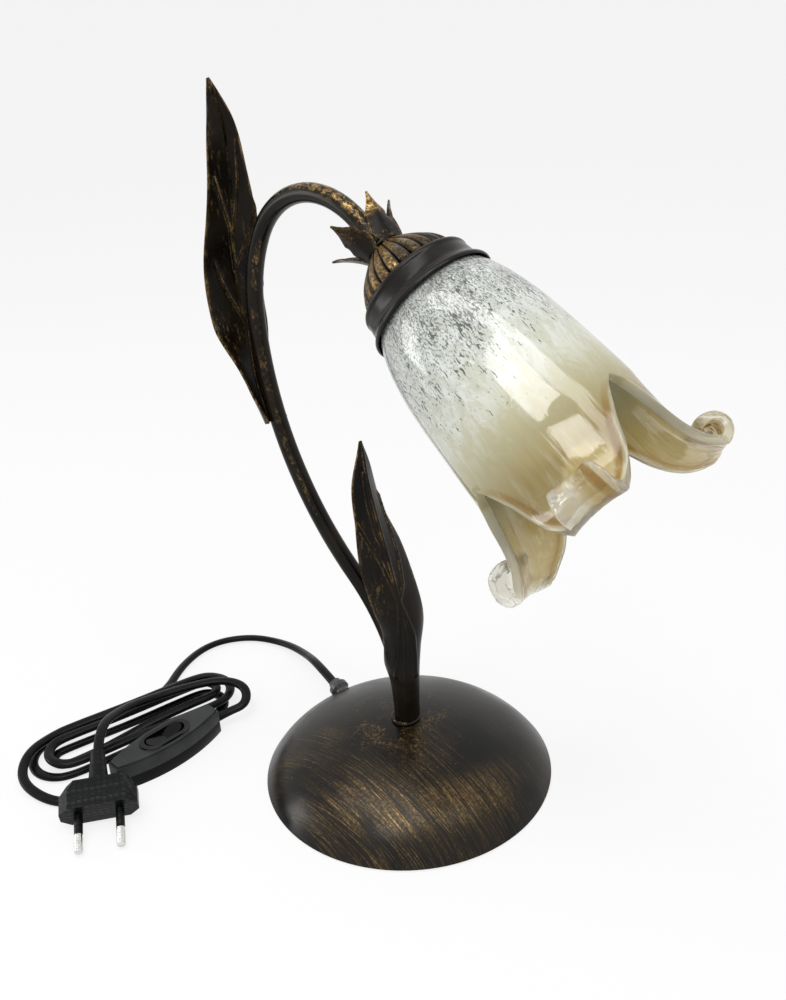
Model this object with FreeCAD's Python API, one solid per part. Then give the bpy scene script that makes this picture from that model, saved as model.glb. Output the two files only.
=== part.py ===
import FreeCAD
import Part
import math
import os

os.makedirs("parts", exist_ok=True)

V = FreeCAD.Vector

# ---------------------------------------------------------------- driving dimensions, millimetres
# Part frame: +Z up, origin at the centre of the base's underside, the bent stem in the XZ plane.

# Base
BASE_R = 68.0                # widest radius, at the table
BASE_H = 29.0                # height of the dome's crown
CROWN_R = 110.0              # radius of the flat crown arc
SHOULDER_R = 50.0            # radius from the axis where crown turns into shoulder
RIM_Z = 0.6                  # the felt pad lifts the rim this much
SHEET = 1.0                  # base sheet thickness
PAD_R = 64.0
PAD_T = 2.0
BALLAST_R = 54.0
BALLAST_Z = (2.0, 12.0)

# Stem: one bent tube, drawn as straight runs and tangent arcs from the foot upwards
TUBE_R = 4.0
BORE_R = 3.0
STEM_FOOT_Z = 6.0
STEM_RISE_Z = 36.5           # the tube is upright up to here
LEAN = 49.0                  # how far the stem leans back, degrees
LEAN_ARC_R = 80.0
BOW_ARC_R = 152.7
LIMB_ARC_R = 70.0
LIMB_TURN = 30.0
HOOK_ARC_R = 42.0
SHADE_TILT = 54.5            # shade axis from straight down, degrees
NECK_RUN = 14.6              # straight tube after the hook

# Shade head, measured along its own axis from the band's lip, towards the mouth
TUBE_END_L = -33.0
LIP_R = 27.3
BAND_TOP_L = -12.5
CAP_R = 20.3
FLUTES = 24
FLUTE_DEPTH = 0.9
NIPPLE_R = 5.0

# Glass
GLASS_T = 3.0
GLASS_HOLE_R = 14.3
GLASS_TOP_L = -10.2
BODY_END_L = 68.0
BODY_END_R = 35.8
SCROLL_C = (99.0, 47.0)      # centre of the rolled petal tip: along the axis, off the axis
SCROLL_R = 4.9               # radius of the roll at mid glass
ROOT_SPREAD = 59.5           # half of what one petal takes of the rim, degrees
# Each petal: angle about the shade axis, then how much longer and wider than the mean it is blown.
PETALS = [(144.0, -1.8, 0.0), (28.0, 1.8, -1.5), (260.0, -4.5, 1.5)]

# Cord, switch and plug
CORD_R = 2.4
TABLE_Z = CORD_R + 0.1       # height of a cord's centre on the table
LAYER = 5.3                  # height from one cord layer to the next

# ---------------------------------------------------------------- small helpers


def revolve(points, angle=360.0):
    """Solid of revolution about local Z from (r, z) points; a three-item entry is an arc's middle."""
    edges = []
    here = V(points[0][0], 0, points[0][1])
    i = 1
    while i < len(points):
        item = points[i]
        if len(item) == 3:
            middle = V(item[0], 0, item[1])
            end = V(points[i + 1][0], 0, points[i + 1][1])
            edges.append(Part.Arc(here, middle, end).toShape())
            i += 2
        else:
            end = V(item[0], 0, item[1])
            edges.append(Part.LineSegment(here, end).toShape())
            i += 1
        here = end
    start = V(points[0][0], 0, points[0][1])
    if here.distanceToPoint(start) > 1e-6:
        edges.append(Part.LineSegment(here, start).toShape())
    face = Part.Face(Part.Wire(edges))
    return face.revolve(V(0, 0, 0), V(0, 0, 1), angle)


def ring(r_in, r_out, z0, z1):
    return revolve([(r_in, z0), (r_out, z0), (r_out, z1), (r_in, z1)])


def cylinder(r, z0, z1):
    return Part.makeCylinder(r, z1 - z0, V(0, 0, z0))


def hexagon(across, z0, z1):
    r = across / math.sqrt(3.0)
    corners = [V(r * math.cos(math.radians(60 * k)), r * math.sin(math.radians(60 * k)), z0)
               for k in range(6)]
    corners.append(corners[0])
    return Part.Face(Part.makePolygon(corners)).extrude(V(0, 0, z1 - z0))


def frame_at(origin, x_axis, z_axis):
    """Placement that takes local X and Z to the given directions."""
    z = V(z_axis).normalize()
    x = V(x_axis) - z * V(x_axis).dot(z)
    x.normalize()
    y = z.cross(x)
    matrix = FreeCAD.Matrix(x.x, y.x, z.x, origin.x,
                            x.y, y.y, z.y, origin.y,
                            x.z, y.z, z.z, origin.z,
                            0, 0, 0, 1)
    return FreeCAD.Placement(matrix)


def placed(shape, placement):
    out = shape.copy()
    out.Placement = placement.multiply(out.Placement)
    return out


def save(shape, name):
    if not shape.isValid():
        print("invalid shape:", name)
    print("%-18s %9.1f mm3  %d solids" % (name, shape.Volume, len(shape.Solids)))
    shape.exportStep("parts/" + name + ".step")


def pipe(wire, radius, section_r=None):
    """Tube of the given radius along a tangent wire."""
    start = wire.OrderedEdges[0]
    point = start.valueAt(start.FirstParameter)
    tangent = start.tangentAt(start.FirstParameter)
    circle = Part.Wire(Part.makeCircle(radius, point, tangent))
    return wire.makePipeShell([circle], True, False)


# ---------------------------------------------------------------- routes


def turtle(start, heading, moves):
    """Tangent runs and arcs in the XZ plane. A move is ("run", length) or ("arc", radius, degrees),
    where a positive angle turns towards +X. Returns the wire, the last point and heading."""
    edges = []
    point = V(start)
    angle = math.radians(heading)
    for move in moves:
        along = V(math.sin(angle), 0, math.cos(angle))
        if move[0] == "run":
            end = point + along * move[1]
            edges.append(Part.LineSegment(point, end).toShape())
        else:
            radius, turn = move[1], math.radians(move[2])
            side = 1.0 if turn > 0 else -1.0
            across = V(math.cos(angle), 0, -math.sin(angle)) * side
            centre = point + across * radius
            half = angle + turn / 2.0
            full = angle + turn
            middle = centre - V(math.cos(half), 0, -math.sin(half)) * side * radius
            end = centre - V(math.cos(full), 0, -math.sin(full)) * side * radius
            edges.append(Part.Arc(point, middle, end).toShape())
            angle = full
        point = end
    return Part.Wire(edges), point, V(math.sin(angle), 0, math.cos(angle))


def rounded_route(points, share=0.45):
    """Straight runs joined by tangent arcs, each arc as large as its two runs allow."""
    points = [V(*p) for p in points]
    edges = []
    radii = []
    here = points[0]
    for before, corner, after in zip(points, points[1:], points[2:]):
        way_in = corner - before
        way_out = after - corner
        run = min(way_in.Length, way_out.Length)
        way_in.normalize()
        way_out.normalize()
        turn = way_in.getAngle(way_out)
        cut = share * run
        radius = cut / math.tan(turn / 2.0)
        a = corner - way_in * cut
        b = corner + way_out * cut
        bisector = (way_out - way_in).normalize()
        centre = corner + bisector * (radius / math.cos(turn / 2.0))
        middle = centre - bisector * radius
        edges.append(Part.LineSegment(here, a).toShape())
        edges.append(Part.Arc(a, middle, b).toShape())
        radii.append(radius)
        here = b
    edges.append(Part.LineSegment(here, points[-1]).toShape())
    return Part.Wire(edges), radii


# ---------------------------------------------------------------- base


def shoulder_arc(offset=0.0):
    """Points of the dome's outer profile, moved inwards by offset."""
    crown_c = BASE_H - CROWN_R
    crown_r = CROWN_R - offset
    join_angle = math.asin(SHOULDER_R / CROWN_R)
    join = (crown_r * math.sin(join_angle), crown_c + crown_r * math.cos(join_angle))
    half = join_angle / 2.0
    crown_mid = (crown_r * math.sin(half), crown_c + crown_r * math.cos(half))
    # The shoulder arc leaves the crown tangentially and ends on the rim.
    outer_join = (SHOULDER_R, crown_c + CROWN_R * math.cos(join_angle))
    nx, nz = math.sin(join_angle), math.cos(join_angle)
    dx, dz = BASE_R - outer_join[0], RIM_Z - outer_join[1]
    radius = -(dx * dx + dz * dz) / (2.0 * (dx * nx + dz * nz))
    centre = (outer_join[0] - nx * radius, outer_join[1] - nz * radius)
    rim_angle = math.atan2(BASE_R - centre[0], RIM_Z - centre[1])
    r = radius - offset
    drop = math.acos(max(-1.0, min(1.0, (RIM_Z - centre[1]) / r)))
    mid_angle = (join_angle + drop) / 2.0
    shoulder_mid = (centre[0] + r * math.sin(mid_angle), centre[1] + r * math.cos(mid_angle))
    rim = (centre[0] + r * math.sin(drop), RIM_Z)
    return crown_mid, join, shoulder_mid, rim, (centre, radius, rim_angle)


def base_dome():
    crown_mid, join, shoulder_mid, rim, _ = shoulder_arc()
    in_crown, in_join, in_shoulder, in_rim, _ = shoulder_arc(SHEET)
    hole = TUBE_R + 0.1
    top = (hole, BASE_H - 0.08)
    under = (hole, BASE_H - SHEET - 0.08)
    shell = revolve([top, (crown_mid[0], crown_mid[1], "arc"), join,
                     (shoulder_mid[0], shoulder_mid[1], "arc"), rim,
                     in_rim, (in_shoulder[0], in_shoulder[1], "arc"), in_join,
                     (in_crown[0], in_crown[1], "arc"), under])
    return shell.cut(placed(cylinder(BUSH_NECK_R, -12, 12), BUSH_FRAME))


BUSH_AZIMUTH = 168.6         # where the cord leaves the dome, degrees about Z
BUSH_Z = 9.6
BUSH_NECK_R = 3.6


def bush_frame():
    """Frame on the dome where the cord leaves: local Z points out along the cord."""
    _, _, _, _, (centre, radius, _) = shoulder_arc()
    height = BUSH_Z - centre[1]
    r = centre[0] + math.sqrt(radius * radius - height * height)
    a = math.radians(BUSH_AZIMUTH)
    out = V(math.cos(a), math.sin(a), 0.22)
    origin = V(r * math.cos(a), r * math.sin(a), BUSH_Z)
    return frame_at(origin, V(0, 0, 1), out)


BUSH_FRAME = bush_frame()


def cord_bushing(dome):
    """Flanged clear bushing, with a snap neck through the sheet and a flared outer lip."""
    hole = CORD_R + 0.02
    body = revolve([(hole, -4.0), (BUSH_NECK_R - 0.05, -4.0), (BUSH_NECK_R - 0.05, -0.6),
                    (5.0, 1.0), (5.0, 3.2), (4.6, 3.8, "arc"), (3.8, 4.2), (3.3, 6.5), (hole, 6.5)])
    body = placed(body, BUSH_FRAME)
    thick = placed(cylinder(8.0, -9.0, 9.0), BUSH_FRAME)
    inside = dome_solid(0.0).common(thick)
    neck = placed(cylinder(BUSH_NECK_R, -9.0, 9.0), BUSH_FRAME)
    return body.cut(inside.cut(neck))


def dome_solid(offset):
    crown_mid, join, shoulder_mid, rim, _ = shoulder_arc(offset)
    top = (0.0, BASE_H - offset)
    return revolve([top, (crown_mid[0], crown_mid[1], "arc"), join,
                    (shoulder_mid[0], shoulder_mid[1], "arc"), rim, (0.0, RIM_Z)])


def base_parts():
    dome = base_dome()
    save(dome, "base_dome")
    save(cylinder(PAD_R, 0, PAD_T), "base_pad")
    # Cast ballast with a boss up to the dome, a well for the nut and a channel for the cord.
    well_r = 22.0
    bore = TUBE_R + 0.1
    ballast = revolve([(well_r, BALLAST_Z[0]), (BALLAST_R, BALLAST_Z[0]), (BALLAST_R, 6.0),
                       (BALLAST_R - 8.0, BALLAST_Z[1]), (16.0, 16.5), (9.0, BASE_H - SHEET - 0.45),
                       (bore, BASE_H - SHEET - 0.45), (bore, 11.6), (well_r, 11.6)])
    channel = Part.makeBox(BALLAST_R, 8.0, 9.0, V(12.0, -4.0, BALLAST_Z[0]))
    channel.rotate(V(0, 0, 0), V(0, 0, 1), BUSH_AZIMUTH)
    save(ballast.cut(channel), "base_ballast")
    save(ring(TUBE_R + 0.1, 11.0, 10.6, 11.6), "stem_washer")
    save(hexagon(13.0, 6.6, 10.6).cut(cylinder(TUBE_R, 6, 11)), "stem_nut")
    foot = BASE_H - 0.07
    bead = revolve([(TUBE_R, foot), (6.3, foot), (6.9, foot + 1.0, "arc"),
                    (6.3, foot + 2.0), (TUBE_R, foot + 2.0)])
    save(bead, "foot_ring")
    save(cord_bushing(dome), "cord_bushing")


# ---------------------------------------------------------------- stem

STEM_MOVES = [("run", STEM_RISE_Z - STEM_FOOT_Z), ("arc", LEAN_ARC_R, -LEAN),
              ("arc", BOW_ARC_R, LEAN), ("arc", LIMB_ARC_R, LIMB_TURN),
              ("arc", HOOK_ARC_R, 180.0 - SHADE_TILT - LIMB_TURN), ("run", NECK_RUN)]
STEM_WIRE, STEM_END, SHADE_AXIS = turtle(V(0, 0, STEM_FOOT_Z), 0.0, STEM_MOVES)
SHADE_FRAME = frame_at(STEM_END - SHADE_AXIS * TUBE_END_L, V(0, 1, 0), SHADE_AXIS)


def stem_tube():
    outer = pipe(STEM_WIRE, TUBE_R)
    bore = pipe(STEM_WIRE, BORE_R)
    return outer.cut(bore)


# ---------------------------------------------------------------- leaves


def leaf_section(spine, back, up, widths, crease, edges, thickness):
    """One cross-section of a stamped leaf: two arcs that meet in a crease at the midrib.
    widths run from midrib to edge along the sheet on the two sides, crease and edges are the
    sheet's direction there, in degrees towards the front."""
    front = V(back) * -1.0
    side = V(up).cross(front)
    side.normalize()
    front = side.cross(V(up))
    front.normalize()
    a0 = math.radians(crease)

    def half(width, edge, way):
        bend = (math.radians(edge) - a0) / width

        def at(share, shift):
            angle = a0 + bend * width * share
            x = (math.sin(angle) - math.sin(a0)) / bend - shift * math.sin(angle)
            y = (math.cos(a0) - math.cos(angle)) / bend + shift * math.cos(angle)
            return V(spine) + side * (x * way) + front * y

        return [at(0.5, 0.0), at(1.0, 0.0)], [at(0.5, thickness), at(1.0, thickness)]

    mitre = V(spine) + front * (thickness / math.cos(a0))
    outer_a, inner_a = half(widths[0], edges[0], 1.0)
    outer_b, inner_b = half(widths[1], edges[1], -1.0)
    return Part.Wire([Part.Arc(outer_b[1], outer_b[0], V(spine)).toShape(),
                      Part.Arc(V(spine), outer_a[0], outer_a[1]).toShape(),
                      Part.LineSegment(outer_a[1], inner_a[1]).toShape(),
                      Part.Arc(inner_a[1], inner_a[0], mitre).toShape(),
                      Part.Arc(mitre, inner_b[0], inner_b[1]).toShape(),
                      Part.LineSegment(inner_b[1], outer_b[1]).toShape()])


def leaf(stations, thickness=0.8):
    """Loft of sections up the midrib."""
    points = [V(*s[0]) for s in stations]
    wires = []
    for i, (_, azimuth, widths, crease, edges) in enumerate(stations):
        up = points[min(i + 1, len(points) - 1)] - points[max(i - 1, 0)]
        up.normalize()
        a = math.radians(azimuth)
        back = V(math.cos(a), math.sin(a), 0)
        wires.append(leaf_section(points[i], back, up, widths, crease, edges, thickness))
    return Part.makeLoft(wires, True, False)


# Midrib point, azimuth of the leaf's back, sheet widths of the two halves, crease, edge angles.
LOWER_LEAF = [
    ((5.0, -3.6, 31.2), -44, (18.6, 18.6), 4, (170, 170)),
    ((5.0, -3.7, 37.5), -44, (18.6, 18.6), 4, (168, 168)),
    ((5.2, -3.9, 44.0), -44, (18.2, 18.6), 4, (154, 160)),
    ((5.6, -4.1, 50.5), -44, (16.2, 18.2), 5, (122, 152)),
    ((5.9, -4.2, 58.0), -44, (14.0, 17.4), 6, (84, 138)),
    ((5.9, -3.3, 69.0), -44, (12.5, 15.8), 9, (60, 114)),
    ((5.9, -3.3, 81.0), -42, (12.6, 14.4), 12, (48, 84)),
    ((4.8, -4.6, 98.0), -28, (13.6, 13.4), 18, (44, 46)),
    ((2.6, -6.8, 118.0), -9, (13.2, 13.0), 20, (36, 36)),
    ((0.0, -9.4, 138.0), 3, (10.4, 10.4), 20, (32, 32)),
    ((-2.2, -11.4, 156.0), 8, (7.4, 7.4), 20, (30, 30)),
    ((-3.6, -12.4, 174.0), 8, (1.0, 1.0), 12, (18, 18)),
]
UPPER_LEAF = [
    ((-78.1, -1.3, 160.0), 190, (10.0, 10.0), 4, (84, 84)),
    ((-82.7, -1.1, 172.0), 188, (8.4, 12.0), 4, (62, 60)),
    ((-85.8, -0.9, 184.0), 186, (8.2, 14.0), 6, (44, 44)),
    ((-88.3, 0.1, 203.0), 162, (9.8, 16.6), 12, (26, 30)),
    ((-89.4, -1.0, 217.0), 150, (11.0, 16.0), 14, (24, 28)),
    ((-88.9, -1.8, 231.0), 145, (12.6, 14.8), 15, (24, 28)),
    ((-88.4, -0.4, 251.0), 141, (11.6, 12.6), 18, (28, 28)),
    ((-87.8, 0.5, 272.0), 140, (8.6, 10.2), 20, (30, 30)),
    ((-87.5, -0.5, 292.0), 144, (5.2, 7.8), 20, (30, 30)),
    ((-90.0, -3.5, 309.6), 150, (1.0, 1.0), 12, (18, 18)),
]


# ---------------------------------------------------------------- shade head


def scallop_wire(r, z, depth):
    """Circle of outward lobes that meet in valleys."""
    edges = []
    step = 2.0 * math.pi / FLUTES
    for k in range(FLUTES):
        a, b = k * step, (k + 1) * step
        low = r - depth
        p = V(low * math.cos(a), low * math.sin(a), z)
        q = V(low * math.cos(b), low * math.sin(b), z)
        m = V(r * math.cos((a + b) / 2), r * math.sin((a + b) / 2), z)
        edges.append(Part.Arc(p, m, q).toShape())
    return Part.Wire(edges)


def fluted_cap():
    profile = [(BAND_TOP_L, CAP_R, 1.0), (-16.5, 18.6, 1.0), (-21.0, 15.9, 0.95),
               (-25.5, 12.0, 0.8), (-29.9, 6.6, 0.35)]
    wires = [scallop_wire(r, z, FLUTE_DEPTH * share) for z, r, share in profile]
    outer = Part.makeLoft(wires, True, False)
    inside = revolve([(0.0, -12.0), (18.0, -12.0), (18.0, -13.0), (14.4, -20.6, "arc"),
                      (6.6, -28.6), (0.0, -28.6)])
    return outer.cut(inside).cut(cylinder(NIPPLE_R + 0.1, -40, 0))


def shade_band():
    """Smooth flared band that hides the glass neck, with a thin bead at its top."""
    t = 0.8
    return revolve([(14.2, BAND_TOP_L), (CAP_R + 0.3, BAND_TOP_L), (CAP_R + 1.1, BAND_TOP_L + 0.7, "arc"),
                    (CAP_R + 0.6, BAND_TOP_L + 1.5), (23.2, -6.2, "arc"), (LIP_R, 0.0),
                    (LIP_R - t, 0.2), (23.2 - t, -5.9, "arc"), (CAP_R - 0.2, BAND_TOP_L + t),
                    (14.2, BAND_TOP_L + t)])


# Calyx leaves: angle about the shade axis, lean from the axis at root and tip, length, width.
CALYX_LEAVES = [(92.0, 4.0, 26.0, 20.0, 5.4), (182.0, 8.0, 28.0, 19.2, 5.4),
                (256.0, 26.0, 50.0, 21.2, 5.0), (15.0, 14.0, 36.0, 21.6, 5.0)]


def calyx():
    """Four pointed leaves on one stamped disc, bent back along the stem."""
    shape = ring(NIPPLE_R + 0.1, 8.2, -30.5, -29.9)
    for around, lean_root, lean_tip, length, width in CALYX_LEAVES:
        a = math.radians(around)
        out = V(math.cos(a), math.sin(a), 0)
        steps = 5
        spine = out * 7.6 + V(0, 0, -30.1)
        stations = [(V(spine), 0.62)]
        for k, share in enumerate((1.0, 1.0, 0.72, 0.10)):
            lean = math.radians(lean_root + (lean_tip - lean_root) * (k + 0.5) / (steps - 1))
            spine = spine + (out * math.sin(lean) - V(0, 0, math.cos(lean))) * (length / (steps - 1))
            stations.append((V(spine), share))
        wires = []
        for i, (point, share) in enumerate(stations):
            up = stations[min(i + 1, steps - 1)][0] - stations[max(i - 1, 0)][0]
            up.normalize()
            half = width * share
            wires.append(leaf_section(point, out, up, (half, half), 6, (30, 30), 0.6))
        shape = shape.fuse(Part.makeLoft(wires, True, False))
    return shape


def head_parts():
    def put(shape, name):
        save(placed(shape, SHADE_FRAME), name)

    put(ring(NIPPLE_R, 6.6, -33.0, -30.5), "stem_collar")
    put(calyx(), "calyx")
    put(fluted_cap(), "fluted_cap")
    put(shade_band(), "shade_band")
    put(ring(BORE_R, NIPPLE_R, TUBE_END_L, -16.5), "threaded_nipple")
    put(hexagon(11.2, -28.6, -25.6).cut(cylinder(NIPPLE_R, -30, -20)), "lock_nut")
    # Lampholder: shell with a clamping flange, core, contacts and the ring that holds the glass.
    shell = revolve([(NIPPLE_R, -20.5), (12.4, -20.5), (13.9, -19.0), (13.9, -11.7), (17.2, -11.7),
                     (17.2, GLASS_TOP_L), (13.9, GLASS_TOP_L), (13.9, 18.0), (12.5, 18.0),
                     (12.5, -18.5), (NIPPLE_R, -18.5)])
    put(shell, "holder_shell")
    core = revolve([(3.4, -13.0), (12.4, -13.0), (12.4, 17.0), (8.0, 17.0), (8.0, -3.0), (3.4, -3.0)])
    put(core, "holder_core")
    put(ring(7.15, 7.95, -1.5, 14.5), "screw_contact")
    put(revolve([(0.0, -4.6), (3.3, -4.6), (3.3, -3.4), (1.6, -3.0), (1.6, -2.2), (0.0, -2.2)]),
        "centre_contact")
    clamp = revolve([(13.95, -7.2), (16.0, -7.2), (16.0, -5.4), (15.2, -4.8), (15.2, -1.0),
                     (13.95, -1.0)])
    put(clamp, "shade_ring")
    # Small round lamp bulb, a thin ball with a neck.
    ball_r = 22.4
    ball_z = 50.0
    wall = 0.8
    glass = Part.makeSphere(ball_r, V(0, 0, ball_z))
    glass = glass.fuse(revolve([(0.0, 19.0), (6.4, 19.0), (8.4, 25.5, "arc"), (14.4, 33.0), (0.0, 33.0)]))
    air = Part.makeSphere(ball_r - wall, V(0, 0, ball_z))
    air = air.fuse(revolve([(0.0, 18.0), (5.6, 18.0), (5.6, 19.0), (7.6, 25.7, "arc"), (13.6, 33.4),
                            (0.0, 33.4)]))
    put(glass.cut(air), "bulb_glass")
    put(revolve([(0.0, -2.2), (2.2, -2.2), (4.6, 0.6), (6.9, 2.4), (6.9, 15.0), (6.4, 19.0), (0.0, 19.0)]),
        "bulb_cap")


# ---------------------------------------------------------------- glass


def glass_body():
    """Blown bell: turned-in neck, then a wall that widens to where the petals part."""
    t = GLASS_T
    return revolve([(GLASS_HOLE_R, GLASS_TOP_L), (16.8, GLASS_TOP_L), (20.8, -6.4, "arc"), (25.4, 0.4),
                    (31.3, 20.0, "arc"), (33.7, 40.0), (34.9, 54.0, "arc"), (BODY_END_R, BODY_END_L),
                    (BODY_END_R - t, BODY_END_L), (34.9 - t, 54.0, "arc"), (33.7 - t, 40.0),
                    (31.3 - t, 20.4, "arc"), (22.6, 1.2), (18.7, -4.9, "arc"), (16.2, -7.2),
                    (GLASS_HOLE_R, -7.2)])


# Along a petal's middle: distance along the axis, off the axis, half its spread in degrees and
# the radius of its cross-section.
PETAL_RISE = [(BODY_END_L, BODY_END_R - GLASS_T / 2, ROOT_SPREAD, BODY_END_R - GLASS_T / 2),
              (70.0, 34.35, 54.0, 34.4), (73.5, 34.5, 48.0, 34.6), (78.5, 34.9, 42.5, 35.0),
              (84.5, 35.5, 37.0, 35.6), (90.5, 36.5, 32.0, 37.0), (95.6, 38.1, 26.5, 39.0),
              (99.8, 40.7, 20.5, 43.0)]
SCROLL_ACROSS = 52.0
# The roll: angle round its centre, half width of the glass there.
SCROLL_TURNS = [(-42.0, 13.2), (0.0, 12.0), (45.0, 11.6), (90.0, 11.2), (135.0, 10.0), (168.0, 8.0),
                (192.0, 5.0), (205.0, 1.8)]


def petal(longer, wider):
    """One petal as a loft of bands across its path, ending in the outward roll of its tip."""
    path = []
    for z, r, spread, across in PETAL_RISE:
        share = (z - BODY_END_L) / (SCROLL_C[0] - BODY_END_L)
        path.append((z + longer * share, r + wider * share, across * math.sin(math.radians(spread)),
                     across))
    for angle, half in SCROLL_TURNS:
        a = math.radians(angle)
        path.append((SCROLL_C[0] + longer + SCROLL_R * math.cos(a),
                     SCROLL_C[1] + wider + SCROLL_R * math.sin(a), half, SCROLL_ACROSS))
    wires = []
    first_turn = len(PETAL_RISE)
    for i, (z, r, half, across) in enumerate(path):
        if i == 0:
            along = V(0, 0, 1)
        elif i >= first_turn:
            a = math.radians(SCROLL_TURNS[i - first_turn][0] + 90.0)
            along = V(math.sin(a), 0, math.cos(a))
        else:
            before, after = path[i - 1], path[i + 1]
            along = V(after[1] - before[1], 0, after[0] - before[0]).normalize()
        out = V(along.z, 0, -along.x)
        middle = V(r, 0, z)
        thick = GLASS_T if i < first_turn else 2.6
        rows = []
        for shift in (thick / 2, -thick / 2):
            spread = math.asin(half / across)
            centre = middle - out * across
            rows.append([centre + (out * math.cos(q) + V(0, math.sin(q), 0)) * (across + shift)
                         for q in (-spread, 0.0, spread)])
        outer, inner = rows
        wires.append(Part.Wire([Part.Arc(*outer).toShape(),
                                Part.LineSegment(outer[2], inner[2]).toShape(),
                                Part.Arc(inner[2], inner[1], inner[0]).toShape(),
                                Part.LineSegment(inner[0], outer[0]).toShape()]))
    return Part.makeLoft(wires, True, False)


def glass_shade():
    petals = []
    for angle, longer, wider in PETALS:
        one = petal(longer, wider)
        one.rotate(V(0, 0, 0), V(0, 0, 1), angle)
        petals.append(one)
    return glass_body().fuse(petals)


# ---------------------------------------------------------------- cord, switch and plug

# Inline switch: lens-shaped body lying along the hank, length along local X.
SWITCH_C = V(-95.0, -73.2, 0.0)
SWITCH_HEADING = 90.0
SWITCH_L = 60.0
SWITCH_W = 19.0
SWITCH_H = 14.0
SWITCH_SPLIT = 6.6
SWITCH_INLET_Z = 6.6
ROCKER_L = 22.0
ROCKER_W = 8.6
ROCKER_AXLE_Z = 11.0

# Plug: centre of the face that the pins leave, and where the pins point.
PLUG_FACE = V(-78.0, -122.0, 8.3)
PLUG_HEADING = -33.9
PLUG_DROP = 18.0
PLUG_W = 35.3
PLUG_T = 13.7
PLUG_DEPTH = 15.0
BOOT_LEN = 17.0
PIN_GAP = 18.6
PIN_LEN = 19.0
PIN_ROOT_R = 1.7

# Hank: racetrack loops that wind in on the table and out again on top.
HANK_C = V(-123.0, -72.0, 0.0)
HANK_HEADING = 78.5
HANK_INNER = [19.0, 13.0, 8.0, 4.0]       # offsets of the runs, winding in
HANK_OUTER = [10.0, 12.0, 16.0]           # and out again, one layer up
HANK_END = 36.0                           # centres of the end turns, from the hank's middle
HANK_START = 5.0
HANK_FINISH = -25.0


def hank_frame():
    a = math.radians(HANK_HEADING)
    return V(math.cos(a), math.sin(a), 0), V(-math.sin(a), math.cos(a), 0)


def hank_point(along, across, z):
    h, n = hank_frame()
    return HANK_C + h * along + n * across + V(0, 0, z)


def hank_wire():
    """Runs and half turns; the climb to the second layer lies along the innermost run."""
    edges = []
    samples = []
    low = TABLE_Z
    high = TABLE_Z + LAYER
    offsets = HANK_INNER + HANK_OUTER
    climb = len(HANK_INNER) - 1
    along = HANK_START
    for k, offset in enumerate(offsets):
        left = k % 2 == 0
        side = 1.0 if left else -1.0
        z0 = low if k <= climb else high
        z1 = high if k >= climb else low
        last = k == len(offsets) - 1
        stretch = 0.0 if k < climb else 2.5
        end = HANK_FINISH if last else (-HANK_END - 1.0 + stretch if left else HANK_END + stretch)
        a = hank_point(along, side * offset, z0)
        b = hank_point(end, side * offset, z1)
        if k == climb:
            # Two equal arcs in the upright plane of the run, level at both ends.
            half = (a + b) * 0.5
            way = (b - a)
            flat = V(way.x, way.y, 0)
            rise = way.z
            q = math.atan2(rise, flat.Length)
            sag = way.Length / 4.0 * math.tan(q / 2.0)
            up = V(0, 0, 1)
            normal = (flat.normalize() * -math.sin(q) + up * math.cos(q))
            first = (a + half) * 0.5 - normal * sag
            second = (half + b) * 0.5 + normal * sag
            edges.append(Part.Arc(a, first, half).toShape())
            edges.append(Part.Arc(half, second, b).toShape())
        else:
            edges.append(Part.LineSegment(a, b).toShape())
        if last:
            break
        turn_from = side * offset
        turn_to = -side * offsets[k + 1]
        middle_across = (turn_from + turn_to) / 2.0
        radius = abs(turn_from - turn_to) / 2.0
        bulge = end - radius if left else end + radius
        c = hank_point(bulge, middle_across, z1)
        d = hank_point(end, turn_to, z1)
        edges.append(Part.Arc(b, c, d).toShape())
        along = end
    return Part.Wire(edges)


def least_gap(wire, skip):
    """Least distance between stretches of a tube that are more than skip apart along it."""
    count = int(wire.Length / 1.5)
    points = wire.discretize(Number=count)
    step = wire.Length / (count - 1)
    away = int(skip / step)
    best = 1e9
    for i, p in enumerate(points):
        for q in points[i + away:]:
            d = p.distanceToPoint(q)
            if d < best:
                best = d
    return best - 2 * CORD_R


def switch_frame():
    a = math.radians(SWITCH_HEADING)
    return frame_at(SWITCH_C, V(math.cos(a), math.sin(a), 0), V(0, 0, 1))


SWITCH_FRAME = switch_frame()


def plug_frame():
    """Local Z along the pins, local X along the row of pins, origin on the face."""
    a = math.radians(PLUG_HEADING)
    d = math.radians(PLUG_DROP)
    out = V(math.cos(a) * math.cos(d), math.sin(a) * math.cos(d), -math.sin(d))
    return frame_at(PLUG_FACE, V(-math.sin(a), math.cos(a), 0), out)


PLUG_FRAME = plug_frame()


def lens(length, width, z0, z1, inset=0.0):
    """Plan of two arcs with short flat ends, extruded."""
    half_l = length / 2.0 - inset
    half_w = width / 2.0 - inset
    tip = 3.6 - inset * 0.4
    corners = [V(-half_l, -tip, z0), V(half_l, -tip, z0), V(half_l, tip, z0), V(-half_l, tip, z0)]
    edges = [Part.Arc(corners[0], V(0, -half_w, z0), corners[1]).toShape(),
             Part.LineSegment(corners[1], corners[2]).toShape(),
             Part.Arc(corners[2], V(0, half_w, z0), corners[3]).toShape(),
             Part.LineSegment(corners[3], corners[0]).toShape()]
    return Part.Face(Part.Wire(edges)).extrude(V(0, 0, z1 - z0))


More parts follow.
